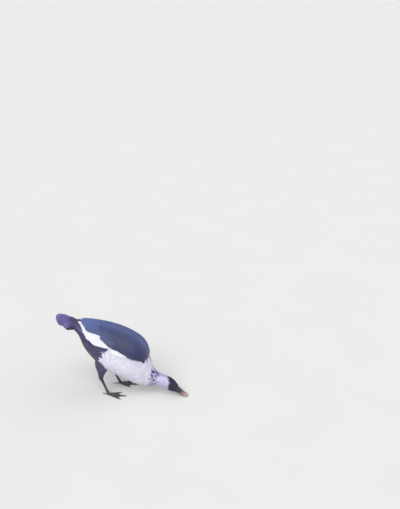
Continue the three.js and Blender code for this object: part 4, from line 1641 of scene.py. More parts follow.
@dataclass
class Bill:
    """Upper and lower bill: horn that is dark at its root and paler at the nail."""

    body: BodyForm
    pitch: float = 27.0
    root_length: float = 9.0
    pale_from: float = 20.0
    pale_over: float = 26.0
    upper: tuple = (
        (0, 13.5, 13, -3), (9, 11.5, 12.6, -3.4), (20, 8.2, 11.6, -4), (32, 5.6, 11.4, -4.2),
        (41, 4.2, 12.2, -4), (48, 2.8, 10.8, -4.2), (53, 0.8, 7, -5), (55.5, -2, 3.2, -6),
    )
    lower: tuple = (
        (0, -3.6, 11.6, -12.5), (12, -4.2, 11, -10.6), (28, -4.8, 10, -9), (40, -4.8, 10.6, -7.6),
        (47, -5, 9, -7.2), (52, -5.6, 5, -7),
    )
    nostril: tuple[float, float, float] = (17.0, 6.4, 2.4)

    def place(self, x: Array, y: Array, z: Array) -> Array:
        """Points of the bill's own frame, whose root lies flat on the face.

        Args:
            x: distances from the root, in mm.
            y: distances to the left.
            z: heights.

        Returns:
            Points in mm, in the last axis.
        """
        turn = math.radians(self.pitch)
        last = np.array(self.body.last_place)
        back, belly = self.body.skin(last, np.array(0.0)), self.body.skin(last, np.array(180.0))
        widest = self.body.table[-1, 5]
        centre = belly + (back - belly) * widest
        up = (back - belly) / np.linalg.norm(back - belly)
        ahead = np.array([up[2], 0, -up[0]])
        zero = np.zeros_like(x)
        cos, sin = math.cos(turn), math.sin(turn)
        turned = np.stack([x * cos + z * sin, y, z * cos - x * sin], -1)
        flat = np.stack([zero, y, zero], -1) + up * z[..., None] + ahead * 0.3
        share = np.clip(1 - x / self.root_length, 0, 1)[..., None]
        return turned + (flat - turned) * share + centre

    def outline(self, angle: Array, x: float) -> Array:
        """Points round the whole bill at one distance from its root, by angle from the top.

        Args:
            angle: angles from the top, in degrees.
            x: the distance in mm.

        Returns:
            Points in mm, in the last axis.
        """
        upper, lower = (np.array(table, float) for table in (self.upper, self.lower))
        _, top, width, edge = smooth_table(upper, np.interp(x, upper[:, 0], np.arange(len(upper))))
        _, _, low_width, bottom = smooth_table(lower, np.interp(x, lower[:, 0], np.arange(len(lower))))
        turn = np.radians(angle)
        up = np.cos(turn)
        above, below = np.abs(up) ** 0.75 * (top - edge), np.abs(up) ** 0.6 * (edge - bottom)
        z = np.where(up > 0, edge + above, edge - below)
        y = np.where(up > 0, width, low_width) * np.sin(turn)
        return self.place(np.full(len(turn), float(x)), y, z)

    def half(self, table: tuple, over: bool, rows: int = 90, dome: int = 36) -> Array:
        """Rings of one half of the bill.

        Args:
            table: rows of distance, heights and half width, in mm.
            over: whether it is the upper one.
            rows: how many rings there are.
            dome: how many points a ring's arch has.

        Returns:
            Points in mm, in the last axis.
        """
        values = np.array(table, float)
        at = np.linspace(0, len(values) - 1, rows)
        x, first, second, third = smooth_table(values, at).T
        top, width, edge = (first, second, third) if over else (third, second, first)
        turn = np.linspace(0, math.pi, dome)
        rise = np.sin(turn) ** (0.75 if over else 0.6)
        y = -width[:, None] * np.cos(turn)
        z = edge[:, None] + rise * (top - edge)[:, None]
        x = np.repeat(x[:, None], dome, 1)
        if over:
            off = np.hypot((x - self.nostril[0]) / 4.0, (np.abs(y) - self.nostril[1]) / self.nostril[2])
            hole, rim = bell(off, 0, 0.75), bell(off, 1.35, 0.3)
            z = z + (0.45 * rim - 2.4 * hole) * rise
            nail = bell(x, 53, 6) * np.clip((6.5 - np.abs(y)) / 1.5, 0, 1)
            z = z + 0.7 * nail * rise - 0.35 * bell(x, 46, 1.2) * bell(y, 0, 6) * rise
            z = z - 0.5 * bell(np.abs(y), 9.5, 1.6) * np.clip((x - 14) / 10, 0, 1) * rise
        flat_y = np.linspace(width, -width, 8, axis=1)[:, 1:-1]
        arch = (1.2 if over else -0.6) * (1 - (flat_y / width[:, None]) ** 2)
        flat_z = np.repeat(edge[:, None], 6, 1) + arch
        flat_x = np.repeat(x[:, :1], 6, 1)
        stack = [np.concatenate(pair, 1) for pair in ((x, flat_x), (y, flat_y), (z, flat_z))]
        return self.place(*stack)

    def comb(self) -> tuple[Array, list]:
        """Small plates along the cutting edge, the comb that a duck strains food with.

        Returns:
            Points and faces.
        """
        points, faces = [], []
        values = np.array(self.upper, float)
        for side in (1, -1):
            for x in np.arange(15, 47, 1.5):
                at = np.interp(x, values[:, 0], np.arange(len(values)))
                width, edge = smooth_table(values, np.array(at))[2:4]
                y = side * (width - 1.0)
                box = np.array(
                    [
                        [x + i * 0.4, y + j * 0.5, edge + 0.8 - k * 1.3]
                        for i in (-1, 1) for j in (-1, 1) for k in (0, 1)
                    ]
                )
                start = len(points)
                points += list(box)
                for f in ([0, 1, 3, 2], [4, 6, 7, 5], [0, 4, 5, 1], [2, 3, 7, 6], [0, 2, 6, 4], [1, 5, 7, 3]):
                    faces.append([start + n for n in f])
        flat = np.array(points)
        return self.place(flat[:, 0], flat[:, 1], flat[:, 2]), faces

    def build(self, material: Material) -> list[Object]:
        """Makes both halves, with the share of pale horn as an attribute.

        Args:
            material: the finish.

        Returns:
            Both pieces.
        """
        made = []
        for name, table, over in (("upper_bill", self.upper, True), ("lower_bill", self.lower, False)):
            points, faces = loft(self.half(table, over))
            if over:
                more, extra = self.comb()
                faces += [[n + len(points) for n in f] for f in extra]
                points = np.concatenate([points, more])
            points[:, 2] = np.maximum(points[:, 2], 0.1)
            piece = face_outwards(make_mesh(name, points, faces))
            place = np.array([v.co for v in piece.data.vertices]) / MM
            root = self.place(*(np.array(v, float) for v in (0, 0, 4)))
            share = (np.linalg.norm(place - root, axis=1) - self.pale_from) / self.pale_over
            share = np.clip(share, 0, 1)
            store(piece.data, "pale", "FLOAT", share)
            dressed(piece, material)
            made.append(piece)
        return made


@dataclass
class Thigh:
    """A feathered thigh, which leaves the belly and narrows to the shank."""

    name: str
    side: int
    body: BodyForm
    hip_x: float = -56.0
    leg_y: float = 47.0
    ankle: tuple[float, float] = (-62.0, 70.0)
    sole: tuple[float, float] = (-36.0, 13.0)
    steps: dict[str, float] = field(default_factory=lambda: {"left": 16.0, "right": -6.0})

    def __post_init__(self) -> None:
        """Places the ankle and the foot, and tables the thigh's rings."""
        step = self.steps[self.name]
        self.foot_x = self.sole[0] + step
        self.ankle_x = self.ankle[0] + step * 0.7
        self.tilt = math.degrees(math.atan2(self.foot_x - self.ankle_x, self.ankle[1] - self.sole[1]))
        low_x = self.hip_x + (self.ankle_x - self.hip_x) * 0.7
        self.rings = np.array(
            [
                (self.hip_x + 4, 168, 37, 27, 8),
                (self.hip_x + 2, 132, 33, 26, 12),
                (self.hip_x, 108, 24, 20, 18),
                (low_x, 87, 14, 12, 24),
                (self.ankle_x, self.ankle[1], 8.4, 7.2, self.tilt),
            ]
        )

    def at(self, ring: Array, turn: Array, inset: float = 0.0) -> Array:
        """Points on the thigh's outer form.

        Args:
            ring: numbers of the rings, from the top.
            turn: angles round the thigh, in degrees.
            inset: how far the points are sunk, in mm.

        Returns:
            Points in mm, in the last axis.
        """
        ring, turn = np.broadcast_arrays(np.asarray(ring, float), np.radians(turn))
        x, z, fore, wide, tilt = np.moveaxis(smooth_table(self.rings, ring), -1, 0)
        tilt = np.radians(tilt)
        ahead = (fore - inset) * np.cos(turn)
        y = self.side * self.leg_y + (wide - inset) * np.sin(turn)
        return np.stack([x + self.body.shift + ahead * np.cos(tilt), y, z + ahead * np.sin(tilt)], -1)

    def core(self) -> Object:
        """The flesh of the thigh, sunk below its feathers.

        Returns:
            The object.
        """
        ring, turn = np.meshgrid(np.linspace(0, 4, 30), np.arange(0, 360, 10.0), indexing="ij")
        points, faces = loft(self.at(ring, turn, 2.4))
        return face_outwards(make_mesh("thigh_core", points, faces))

    def coat(self, bench: FeatherBench, markings: Markings, material: Material) -> Object:
        """Loose dark feathers that hang down the thigh to the shank's top.

        Args:
            bench: lays the feathers.
            markings: the plumage's colours.
            material: the finish.

        Returns:
            The piece.
        """
        guide = Guide(f"{self.name}_thigh_lie", (0.0, 4.6), (-60.0, 420.0), self.reach, onward=1.0)
        surface = guide.object()
        a, b, gap = shingle(guide, 0.35, 3.75, lambda at: float(np.interp(at, [0, 2, 4], [8, 7, 4])), 51)
        roots = self.at(a, b)
        keep = (b >= 0) & (b < 360) & ~self.body.holds(roots, 3.0)
        a, b, gap = a[keep], b[keep], gap[keep]
        draw = np.random.default_rng(52)
        count = len(a)
        height = np.interp(a, [0, 3, 4], [1.0, 0.6, 0.2])
        rise = np.stack([-2.2 * height, 0.5 + 0.6 * draw.random(count), 0.25 * draw.normal(size=count)], -1)
        place = np.full(count, 3.0)
        colour = markings.body(place, np.full(count, 120.0) * self.side, 0.2)
        colour = colour * draw.uniform(0.8, 1.2, (count, 1))
        feathers = Feathers.lying(
            guide, a, b, gap * np.interp(a, [0, 3, 4], [2.4, 2.6, 1.9]), gap * 0.66,
            draw.normal(0, 9, count), rise, colour, 3, 53,
        )
        made = bench.lay(f"{self.name}_thigh_coat", guide, surface, feathers, Vane.FLUFF, material)
        bpy.data.objects.remove(surface)
        return made

    def reach(self, ring: Array, turn: Array) -> Array:
        """The outer form, carried a little past the ankle for the lowest tips.

        Args:
            ring: numbers of the rings, from the top.
            turn: angles round the thigh, in degrees.

        Returns:
            Points in mm, in the last axis.
        """
        over = np.maximum(np.asarray(ring, float) - 4, 0)[..., None]
        lean = math.radians(self.tilt)
        down = np.array([math.sin(lean), 0, -math.cos(lean)])
        return self.at(np.minimum(ring, 4.0), turn) + over * down * 16


@dataclass(frozen=True)
class Toe:
    """One toe, seen from above: heading in degrees, length and root radius in mm."""

    heading: float
    length: float
    radius: float
    start: float
    height: float


@dataclass
class Leg:
    """The bare part of a leg: a scaly shank, a webbed foot and its claws."""

    thigh: Thigh
    toes: dict[int, Toe] = field(
        default_factory=lambda: {
            1: Toe(168, 15, 2.6, -4, 5.4),
            2: Toe(24, 47, 3.9, 2, 3.4),
            3: Toe(-1, 66, 4.3, 2, 3.7),
            4: Toe(-25, 57, 3.9, 2, 3.4),
        }
    )
    claw_length: float = 12.0
    scute: float = 3.2
    gap: float = 0.3

    def across(self, toe: Toe, distance: Array, sideways: Array, z: Array) -> Array:
        """Points in a toe's own frame.

        Args:
            toe: the toe.
            distance: distances in mm.
            sideways: distances to the toe's side.
            z: heights.

        Returns:
            Points in mm, in the last axis.
        """
        turn = math.radians(-toe.heading * self.thigh.side)
        ahead, beside = (math.cos(turn), math.sin(turn)), (-math.sin(turn), math.cos(turn))
        x = self.thigh.foot_x + self.thigh.body.shift + distance * ahead[0] + sideways * beside[0]
        y = self.thigh.side * self.thigh.leg_y + distance * ahead[1] + sideways * beside[1]
        return np.stack(np.broadcast_arrays(x, y, z), -1)

    def toe_radius(self, toe: Toe, share: Array) -> Array:
        """A toe swells at each joint and narrows towards its claw."""
        return toe.radius * (1 - 0.38 * share) * (1 + 0.1 * np.cos(share * math.pi * 6))

    def scutes(self, run: Array, turn: Array) -> Array:
        """Relief of the overlapping plates along the front of shank and toes."""
        step = (run / self.scute) % 1
        return 0.42 * (step**0.6 - 0.5) * np.clip(np.sin(turn) * 1.4, 0, 1)

    def toe(self, toe: Toe) -> tuple[Array, list]:
        """The shell of one toe.

        Args:
            toe: the toe.

        Returns:
            Points and faces.
        """
        share = np.linspace(0, 1, int(toe.length * 1.2) + 6)[:, None]
        turn = np.linspace(0, 2 * math.pi, 20, endpoint=False)[None, :]
        radius = self.toe_radius(toe, share)
        distance = toe.start + (toe.length - toe.start) * share
        height = toe.height + (radius * 0.86 - toe.height) * share
        radius = radius + self.scutes(distance, turn)
        aside, up = radius * np.cos(turn), height + radius * np.sin(turn)
        return loft(self.across(toe, distance + 0 * turn, aside, up))

    def shank(self) -> tuple[Array, list]:
        """The shell of the shank, from inside the thigh's feathers to the foot.

        Returns:
            Points and faces.
        """
        start = np.array([self.thigh.ankle_x, self.thigh.ankle[1]])
        end = np.array([self.thigh.foot_x, self.thigh.sole[1]])
        length = float(np.linalg.norm(end - start))
        down = (end - start) / length
        table = np.array(
            [
                (-6, 7.6, 6.4), (1, 7.4, 6.1), (8, 6.2, 5), (30, 5, 4), (54, 5, 4.2), (length, 5.6, 5),
                (length + 8, 6.8, 6.2), (length + 11, 6, 6),
            ]
        )
        distance, fore, wide = smooth_table(table, np.linspace(0, len(table) - 1, 90)).T[..., None]
        turn = np.linspace(0, 2 * math.pi, 28, endpoint=False)[None, :]
        front = self.scutes(distance, math.pi / 2 - np.abs(turn - math.pi * 2 * (turn > math.pi)))
        tilt = math.radians(self.thigh.tilt)
        ahead = (fore + front) * np.cos(turn)
        x = start[0] + self.thigh.body.shift + down[0] * distance + ahead * math.cos(tilt)
        z = start[1] + down[1] * distance + ahead * math.sin(tilt)
        y = self.thigh.side * self.thigh.leg_y + (wide + front) * np.sin(turn)
        return loft(np.stack(np.broadcast_arrays(x, y, z), -1))

    def web(self, inner: Toe, outer: Toe) -> tuple[Array, list]:
        """The shell of the web between two toes, hollowed along its front edge.

        Args:
            inner: the first toe.
            outer: the toe beside it.

        Returns:
            Points and faces.
        """
        s, t = np.meshgrid(np.linspace(0.06, 0.95, 34), np.linspace(0, 1, 22), indexing="ij")
        hollow = 1 - 0.13 * s * np.sin(math.pi * t)
        fold = 0.35 * np.sin(t * math.pi * 5) * s * np.sin(math.pi * t)
        points = []
        for way in (1, -1):
            z = 1.8 + way * 0.75 + 1.1 * np.abs(2 * t - 1) + fold
            a = self.across(inner, inner.length * s * hollow, 0.0, z)
            b = self.across(outer, outer.length * s * hollow, 0.0, z)
            points.append((a + (b - a) * t[..., None]).reshape(-1, 3))
        return np.concatenate(points), sheet_faces(*s.shape)

    def claw(self, toe: Toe) -> tuple[Array, list]:
        """The shell of one claw, a tapered hook that bends down to the floor.

        Args:
            toe: the toe.

        Returns:
            Points and faces.
        """
        share = np.linspace(0, 1, 18)[:, None]
        turn = np.linspace(0, 2 * math.pi, 16, endpoint=False)[None, :]
        radius = float(self.toe_radius(toe, np.array(1.0))) * 0.86
        size = radius * np.sqrt(1 - 0.96 * share)
        height = radius + (size * 0.9 + 0.15 - radius) * share + 1.1 * np.sin(math.pi * share)
        distance = toe.length - 1.2 + (self.claw_length + 1.2 + self.gap) * share + 0 * turn
        return loft(self.across(toe, distance, size * 0.8 * np.cos(turn), height + size * np.sin(turn)))

    def build(self, skin: Material, horn: Material) -> list[Object]:
        """Makes the foot with its shank as one skin, and the claws.

        Args:
            skin: the finish of leg and foot.
            horn: the finish of the claws.

        Returns:
            The two pieces.
        """
        name = self.thigh.name
        shells = [self.shank(), *(self.toe(t) for t in self.toes.values())]
        shells += [self.web(self.toes[2], self.toes[3]), self.web(self.toes[3], self.toes[4])]
        parts = [face_outwards(make_mesh(f"{name}_foot", *shell)) for shell in shells]
        foot = joined(f"{name}_shank_and_foot", parts)
        fuse = foot.modifiers.new("fuse", "REMESH")
        fuse.mode, fuse.voxel_size, fuse.use_smooth_shade = "VOXEL", 0.62 * MM, True
        soften = foot.modifiers.new("soften", "SMOOTH")
        soften.factor, soften.iterations = 0.5, 2
        applied(foot)
        on_floor(foot)
        foot.data.shade_smooth()
        dressed(foot, skin)
        claws = [face_outwards(make_mesh(f"{name}_claw", *self.claw(t))) for t in self.toes.values()]
        claws = joined(f"{name}_claws", claws)
        on_floor(claws)
        dressed(claws, horn)
        return [foot, claws]


@dataclass(frozen=True)
class Tier:
    """A row of wing feathers, from its highest to its lowest. Its roots and tips lie evenly
    along paths of [place, angle]."""

    count: int
    vane: Vane
    half_width: float
    roots: tuple
    tips: tuple
    lift: float
    tip_lift: float
    pale: bool = False


@dataclass
class Wing:
    """A folded wing: a core, small coverts over the shoulder, and tiers of long feathers."""

    name: str
    side: int
    body: BodyForm
    markings: Markings
    front: float = 8.6
    back: float = 2.3
    top: tuple = (30, 18, 12, 9, 8, 9)
    low: tuple = (50, 57, 63, 60, 65, 68)
    heights: tuple = (6, 9, 7.4, 5.4, 3.4, 1.3)
    lap_rise: float = 0.42
    tiers: dict[str, Tier] = field(
        default_factory=lambda: {
            "primaries": Tier(
                9, Vane.FLIGHT, 6.4, ((3.6, 43), (4.4, 60)),
                ((1.12, 14), (1.75, 34), (2.4, 62)), 1.6, 2.6, True,
            ),
            "secondaries": Tier(
                11, Vane.FLIGHT, 8.2, ((4.6, 38), (5.6, 52)),
                ((2.05, 36), (2.55, 57), (3.0, 67)), 2.4, 4.4, True,
            ),
            "greater_coverts": Tier(
                11, Vane.COVERT, 7.2, ((5.8, 34), (6.5, 54)), ((3.6, 36), (3.78, 48), (4.5, 56)), 4.4, 6.4
            ),
            "lower_coverts": Tier(
                5, Vane.COVERT, 6.6, ((6.3, 55), (7.0, 63)), ((4.8, 58), (4.85, 69)), 3.8, 5.4, True
            ),
            "median_coverts": Tier(
                13, Vane.COVERT, 6.8, ((7.2, 30), (8.1, 50)), ((5.2, 34), (5.35, 50), (6.4, 63)), 5.5, 7.8
            ),
            "tertials": Tier(
                5, Vane.FLIGHT, 10.5, ((5.2, 11), (5.2, 30)), ((1.35, 8), (2.25, 36)), 4.6, 6.6
            ),
        }
    )

    def coordinates(self, share: Array, across: Array) -> tuple[Array, Array]:
        """Place and angle on the body under a point of the wing.

        Args:
            share: shares from the shoulder to the wing's end.
            across: shares from the wing's top edge to its lower one.

        Returns:
            Places and angles.
        """
        knots = np.stack([self.top, self.low], -1).astype(float)
        edges = smooth_table(knots, share * (len(self.top) - 1))
        angle = edges[..., 0] + (edges[..., 1] - edges[..., 0]) * across
        return self.front + (self.back - self.front) * share, self.side * angle

    def outer(self, share: Array, across: Array, sink: float = 0.0) -> Array:
        """The outer face of the wing's core.

        Args:
            share: shares from the shoulder to the wing's end.
            across: shares from the wing's top edge to its lower one.
            sink: how far it is sunk, in mm.

        Returns:
            Points in mm, in the last axis.
        """
        place, angle = self.coordinates(share, across)
        rim = np.clip(np.minimum(np.minimum(across, 1 - across) * 7, share * 6 + 0.25), 0, 1)
        height = smooth_table(np.array(self.heights, float)[:, None], share * (len(self.heights) - 1))[..., 0]
        return self.body.point(place, angle, 0.9 + (height - 0.9) * np.sqrt(rim) - sink)

    def core(self, material: Material) -> Object:
        """The arm and feather bases below the vanes, as one closed shell.

        Args:
            material: the finish.

        Returns:
            The piece.
        """
        s, t = np.meshgrid(np.linspace(0, 1, 60), np.linspace(0, 1, 28), indexing="ij")
        place, angle = self.coordinates(s, t)
        points = np.concatenate(
            [self.outer(s, t, 0.9).reshape(-1, 3), self.body.point(place, angle, -2.2).reshape(-1, 3)]
        )
        made = face_outwards(make_mesh(f"{self.name}_wing_core", points, sheet_faces(*s.shape)))
        colour = self.markings.dark_back(place.ravel(), angle.ravel())
        both = np.concatenate([colour, colour])[: len(made.data.vertices)]
        store(made.data, "plumage", "FLOAT_COLOR", both)
        return dressed(made, material)

    def tier(self, key: str, body_guide: Guide) -> Feathers:
        """The feathers of one tier.

        Args:
            key: the tier's name.
            body_guide: the body's own surface.

        Returns:
            The feathers.
        """
        tier = self.tiers[key]
        share = np.linspace(0, 1, tier.count)
        ends = []
        for path in (tier.roots, tier.tips):
            stops = np.linspace(0, 1, len(path))
            place, angle = (np.interp(share, stops, values) for values in zip(*path))
            ends.append(np.stack([place, angle * self.side], -1))
        draw = np.random.default_rng(61 + len(key))
        root, tip = ends
        tip = tip + draw.normal(0, 1, tip.shape) * (0.035, 0.5)
        middle = (root + tip) / 2
        points = self.body.skin(middle[:, 0], middle[:, 1])
        lane = np.linalg.norm(np.diff(points, axis=0), axis=1).mean()
        tilt = min(1.6, self.lap_rise * tier.half_width / lane) * self.side
        rise = np.tile([tier.lift, tier.tip_lift, -tilt], (tier.count, 1))
        shown = root + (tip - root) * 0.8
        if tier.pale:
            colour = np.tile(linear(self.markings.palette.snow), (tier.count, 1))
        else:
            colour = self.markings.dark_back(shown[:, 0], shown[:, 1])
            colour = colour * draw.uniform(0.86, 1.12, (tier.count, 1))
        half_width = np.full(tier.count, tier.half_width)
        return Feathers.between(body_guide, root, tip, half_width, rise, colour, 2, 62)

    def lesser(self) -> tuple[Guide, Feathers]:
        """Small coverts in rows over the shoulder.

        Returns:
            Their surface and the feathers.
        """
        name, first, second = f"{self.name}_wing_lie", (-0.04, 1.0), (-0.2, 1.2)
        guide = Guide(name, first, second, self.outer, onward=1.0, outward=-self.side)
        a, b, gap = shingle(guide, 0.0, 0.5, lambda at: float(np.interp(at, [0, 0.5], [5.8, 9.5])), 64)
        keep = (b > 0.02) & (b < 1.04)
        a, b, gap = a[keep], b[keep], gap[keep]
        draw = np.random.default_rng(65)
        place, angle = self.coordinates(a + 0.05, b)
        colour = self.markings.dark_back(place, angle) * draw.uniform(0.85, 1.15, (len(a), 1))
        tips, tilts = draw.uniform(0.3, 0.7, len(a)), draw.normal(0, 0.15, len(a))
        rise = np.stack([np.full(len(a), -0.8), tips, tilts], -1)
        return guide, Feathers.lying(
            guide, a, b, gap * 2.2, gap * 0.64, draw.normal(0, 5, len(a)), rise, colour, 3, 66
        )

    def build(self, bench: FeatherBench, body_guide: Guide, surface: Object, finishes: Finishes) -> list:
        """Makes the core and the feathers, with dark and white ones as pieces of their own.

        Args:
            bench: lays the feathers.
            body_guide: the body's own surface.
            surface: the guide's mesh.
            finishes: the plumage's finishes.

        Returns:
            The core, the dark feathers and the white ones.
        """
        runs: dict[tuple[bool, Vane], list[Feathers]] = {}
        for key, tier in self.tiers.items():
            runs.setdefault((tier.pale, tier.vane), []).append(self.tier(key, body_guide))
        made = []
        for (pale, vane), group in runs.items():
            material = finishes[Plumage.PALE_FLIGHT] if pale else finishes[Plumage.FLIGHT]
            feathers = Feathers.joined(group)
            made.append((pale, bench.lay("wing_run", body_guide, surface, feathers, vane, material, 0.006)))
        guide, feathers = self.lesser()
        own = guide.object()
        run = bench.lay("wing_run", guide, own, feathers, Vane.CONTOUR, finishes[Plumage.DARK])
        made.append((False, run))
        bpy.data.objects.remove(own)
        dark = joined(f"{self.name}_wing_dark_feathers", [m for pale, m in made if not pale])
        white = joined(f"{self.name}_wing_white_feathers", [m for pale, m in made if pale])
        return [self.core(finishes[Plumage.DOWN]), dark, white]


@dataclass
class Mantle:
    """Back and shoulder feathers that bridge the two wings."""

    body: BodyForm
    markings: Markings
    start: float = 8.95
    stop: float = 4.0

    def height(self, place: Array, angle: Array) -> Array:
        """Height of the feathers' surface off the body.

        Args:
            place: places along the body.
            angle: angles round it, in degrees.

        Returns:
            Heights in mm.
        """
        ridge = np.interp(
            place, [1, 2, 3, 4, 5, 6, 7, 7.5, 8, 8.4, 8.9, 9.4],
            [1, 4, 7.3, 8, 8.4, 8.8, 9.2, 8.6, 6.6, 4, 0.4, -0.5],
        )
        return ridge * (1 - 0.14 * bell(angle, 0, 9))

    def at(self, place: Array, angle: Array) -> Array:
        """Points on the feathers' surface."""
        return self.body.point(place, angle, self.height(place, angle))

    def build(self, bench: FeatherBench, finishes: Finishes) -> Object:
        """Makes the feathers, small at the neck and broad towards the tail.

        Args:
            bench: lays the feathers.
            finishes: the plumage's finishes.

        Returns:
            The piece.
        """
        guide = Guide("mantle_lie", (1.0, 9.6), (-62.0, 62.0), self.at)
        surface = guide.object()
        a, b, gap = shingle(
            guide, self.start, self.stop,
            lambda at: float(np.interp(at, [4, 6, 8, 9], [15, 12.5, 9.5, 7])), 71,
        )
        reach = np.interp(a, [4, 6, 8, 8.5, 9], [37, 41, 38, 33, 16])
        keep = np.abs(b) < reach
        a, b, gap = a[keep], b[keep], gap[keep]
        draw = np.random.default_rng(72)
        count = len(a)
        colour = self.markings.dark_back(a - 0.4, b) * draw.uniform(0.86, 1.14, (count, 1))
        rise = np.stack([np.full(count, -1.3), draw.uniform(0.1, 0.5, count), draw.normal(0, 0.2, count)], -1)
        feathers = Feathers.lying(
            guide, a, b, gap * 2.6, gap * 0.7, draw.normal(0, 4, count), rise, colour, 2, 73
        )
        made = bench.lay("mantle_coat", guide, surface, feathers, Vane.COVERT, finishes[Plumage.DARK])
        bpy.data.objects.remove(surface)
        return made


@dataclass
class Tail:
    """The tail fan, with coverts over and under the quills."""

    body: BodyForm
    markings: Markings
    pitch: float = 23.0
    pivot: tuple[float, float, float] = (-120.0, 0.0, 250.0)
    pairs: int = 9
    spread: float = 21.0
    reach: float = 145.0
    arch: float = 10.0
    covert_spread: float = 27.6
    start: float = 70.0
    half_width: float = 9.6
    lap_rise: float = 0.4

    def at(self, distance: Array, angle: Array, lift: Array | float = 0.0) -> Array:
        """Points of the fan: distance from its pivot, angle from its middle, height off it.

        Args:
            distance: distances in mm.
            angle: angles in degrees.
            lift: heights in mm.

        Returns:
            Points in mm, in the last axis.
        """
        turn, pitch = np.radians(angle), math.radians(self.pitch)
        back = distance * np.cos(turn)
        droop = self.arch * (angle / self.spread) ** 2 * (distance / self.reach)
        x = self.pivot[0] + self.body.shift - back * math.cos(pitch) + lift * math.sin(pitch)
        z = self.pivot[2] + back * math.sin(pitch) + lift * math.cos(pitch) - droop
        return np.stack(np.broadcast_arrays(x, distance * np.sin(turn), z), -1)

    def thickness(self, distance: Array, over: bool) -> Array:
        """Height of the coverts off the fan's middle, on its upper or lower face.

        Args:
            distance: distances in mm.
            over: whether it is the upper one.

        Returns:
            Heights in mm.
        """
        above = np.interp(distance, [60, 70, 80, 94, 108, 124, 140], [18, 19.5, 18.5, 15, 9.5, 4, 1.4])
        below = np.interp(distance, [60, 70, 80, 94, 108, 124, 140], [16, 13, 9.5, 6, 3.2, 1.8, 1.2])
        return above if over else below

    def quills(self, guide: Guide) -> tuple[Feathers, Array]:
        """The quills and whether each is white.

        Args:
            guide: the surface that they lie on.

        Returns:
            The feathers and the truth values.
        """
        angles, white = [], []
        for pair in range(self.pairs, 0, -1):
            for side in (1, -1):
                angles.append(side * self.spread * (pair - 0.4) / (self.pairs - 0.4))
                white.append(side < 0 and pair == self.pairs)
        angles = np.array(angles)
        share = np.abs(angles) / self.spread
        root = np.stack([np.full(len(angles), self.start), angles * 0.9], -1)
        tip = np.stack([self.reach - 22 * share**2, angles], -1)
        lane = np.radians(self.spread / self.pairs) * 110
        tilt = -np.sign(angles) * min(1.7, self.lap_rise * self.half_width / lane)
        rise = np.stack([np.full(len(angles), 0.6), 0.9 - 0.4 * share, tilt], -1)
        draw = np.random.default_rng(81)
        colour = np.tile(linear(self.markings.palette.tail), (len(angles), 1))
        colour = colour * draw.uniform(0.85, 1.12, (len(angles), 1))
        colour[white] = linear(self.markings.palette.white)
        half_width = np.full(len(angles), self.half_width)
        return Feathers.between(guide, root, tip, half_width, rise, colour, 2, 82), np.array(white)

    def coverts(self, over: bool) -> tuple[Guide, Feathers]:
        """Rows of coverts on one face of the tail.

        Args:
            over: whether it is the upper one.

        Returns:
            Their surface and the feathers.
        """
        way = 1 if over else -1

        def face(distance: Array, angle: Array) -> Array:
            """Points of the tail's upper or lower face."""
            flatter = np.sqrt(np.clip(1 - (angle / self.covert_spread) ** 2, 0.02, 1))
            return self.at(distance, angle, way * self.thickness(distance, over) * flatter)

        guide = Guide("tail_lie", (60.0, 158.0), (-36.0, 36.0), face, onward=1.0, outward=-float(way))
        last = 106 if over else 92
        a, b, gap = shingle(guide, 62, last, lambda at: float(np.interp(at, [62, 106], [8, 11])), 83 + way)
        keep = np.abs(b) < np.interp(a, [62, 94, 106], [27, 25, 19])
        a, b, gap = a[keep], b[keep], gap[keep]
        draw = np.random.default_rng(84 + way)
        count = len(a)
        palette = self.markings.palette
        base = np.tile(linear(palette.rump), (count, 1))
        colour = self.markings.mix(base, palette.covert if over else palette.slate, (a - 66) / 16)
        colour = colour * draw.uniform(0.88, 1.14, (count, 1))
        sunk = 1 + 5 * np.clip((76 - a) / 14, 0, 1)
        rise = np.stack([-sunk, draw.uniform(0.3, 0.6, count), draw.normal(0, 0.15, count)], -1)
        return guide, Feathers.lying(
            guide, a, b, gap * 2.5, gap * 0.68, draw.normal(0, 3, count), rise, colour, 2, 85
        )

    def build(self, bench: FeatherBench, finishes: Finishes) -> list[Object]:
        """Makes the quills and coverts.

        Args:
            bench: lays the feathers.
            finishes: the plumage's finishes.

        Returns:
            The dark piece and the white one.
        """
        guide = Guide("fan_lie", (40.0, 165.0), (-40.0, 40.0), self.at, onward=1.0, outward=-1.0)
        surface = guide.object()
        feathers, white = self.quills(guide)
        runs = [
            bench.lay(
                "tail_run", guide, surface, feathers.where(~white), Vane.FLIGHT,
                finishes[Plumage.FLIGHT], patch=0.006,
            )
        ]
        pale = bench.lay(
            "white_tail_feather", guide, surface, feathers.where(white), Vane.FLIGHT,
            finishes[Plumage.PALE_FLIGHT], patch=0.006,
        )
        bpy.data.objects.remove(surface)
        for over in (True, False):
            own, feathers = self.coverts(over)
            surface = own.object()
            runs.append(bench.lay("tail_run", own, surface, feathers, Vane.COVERT, finishes[Plumage.DARK]))
            bpy.data.objects.remove(surface)
        return [joined("dark_tail_feathers", runs), pale]


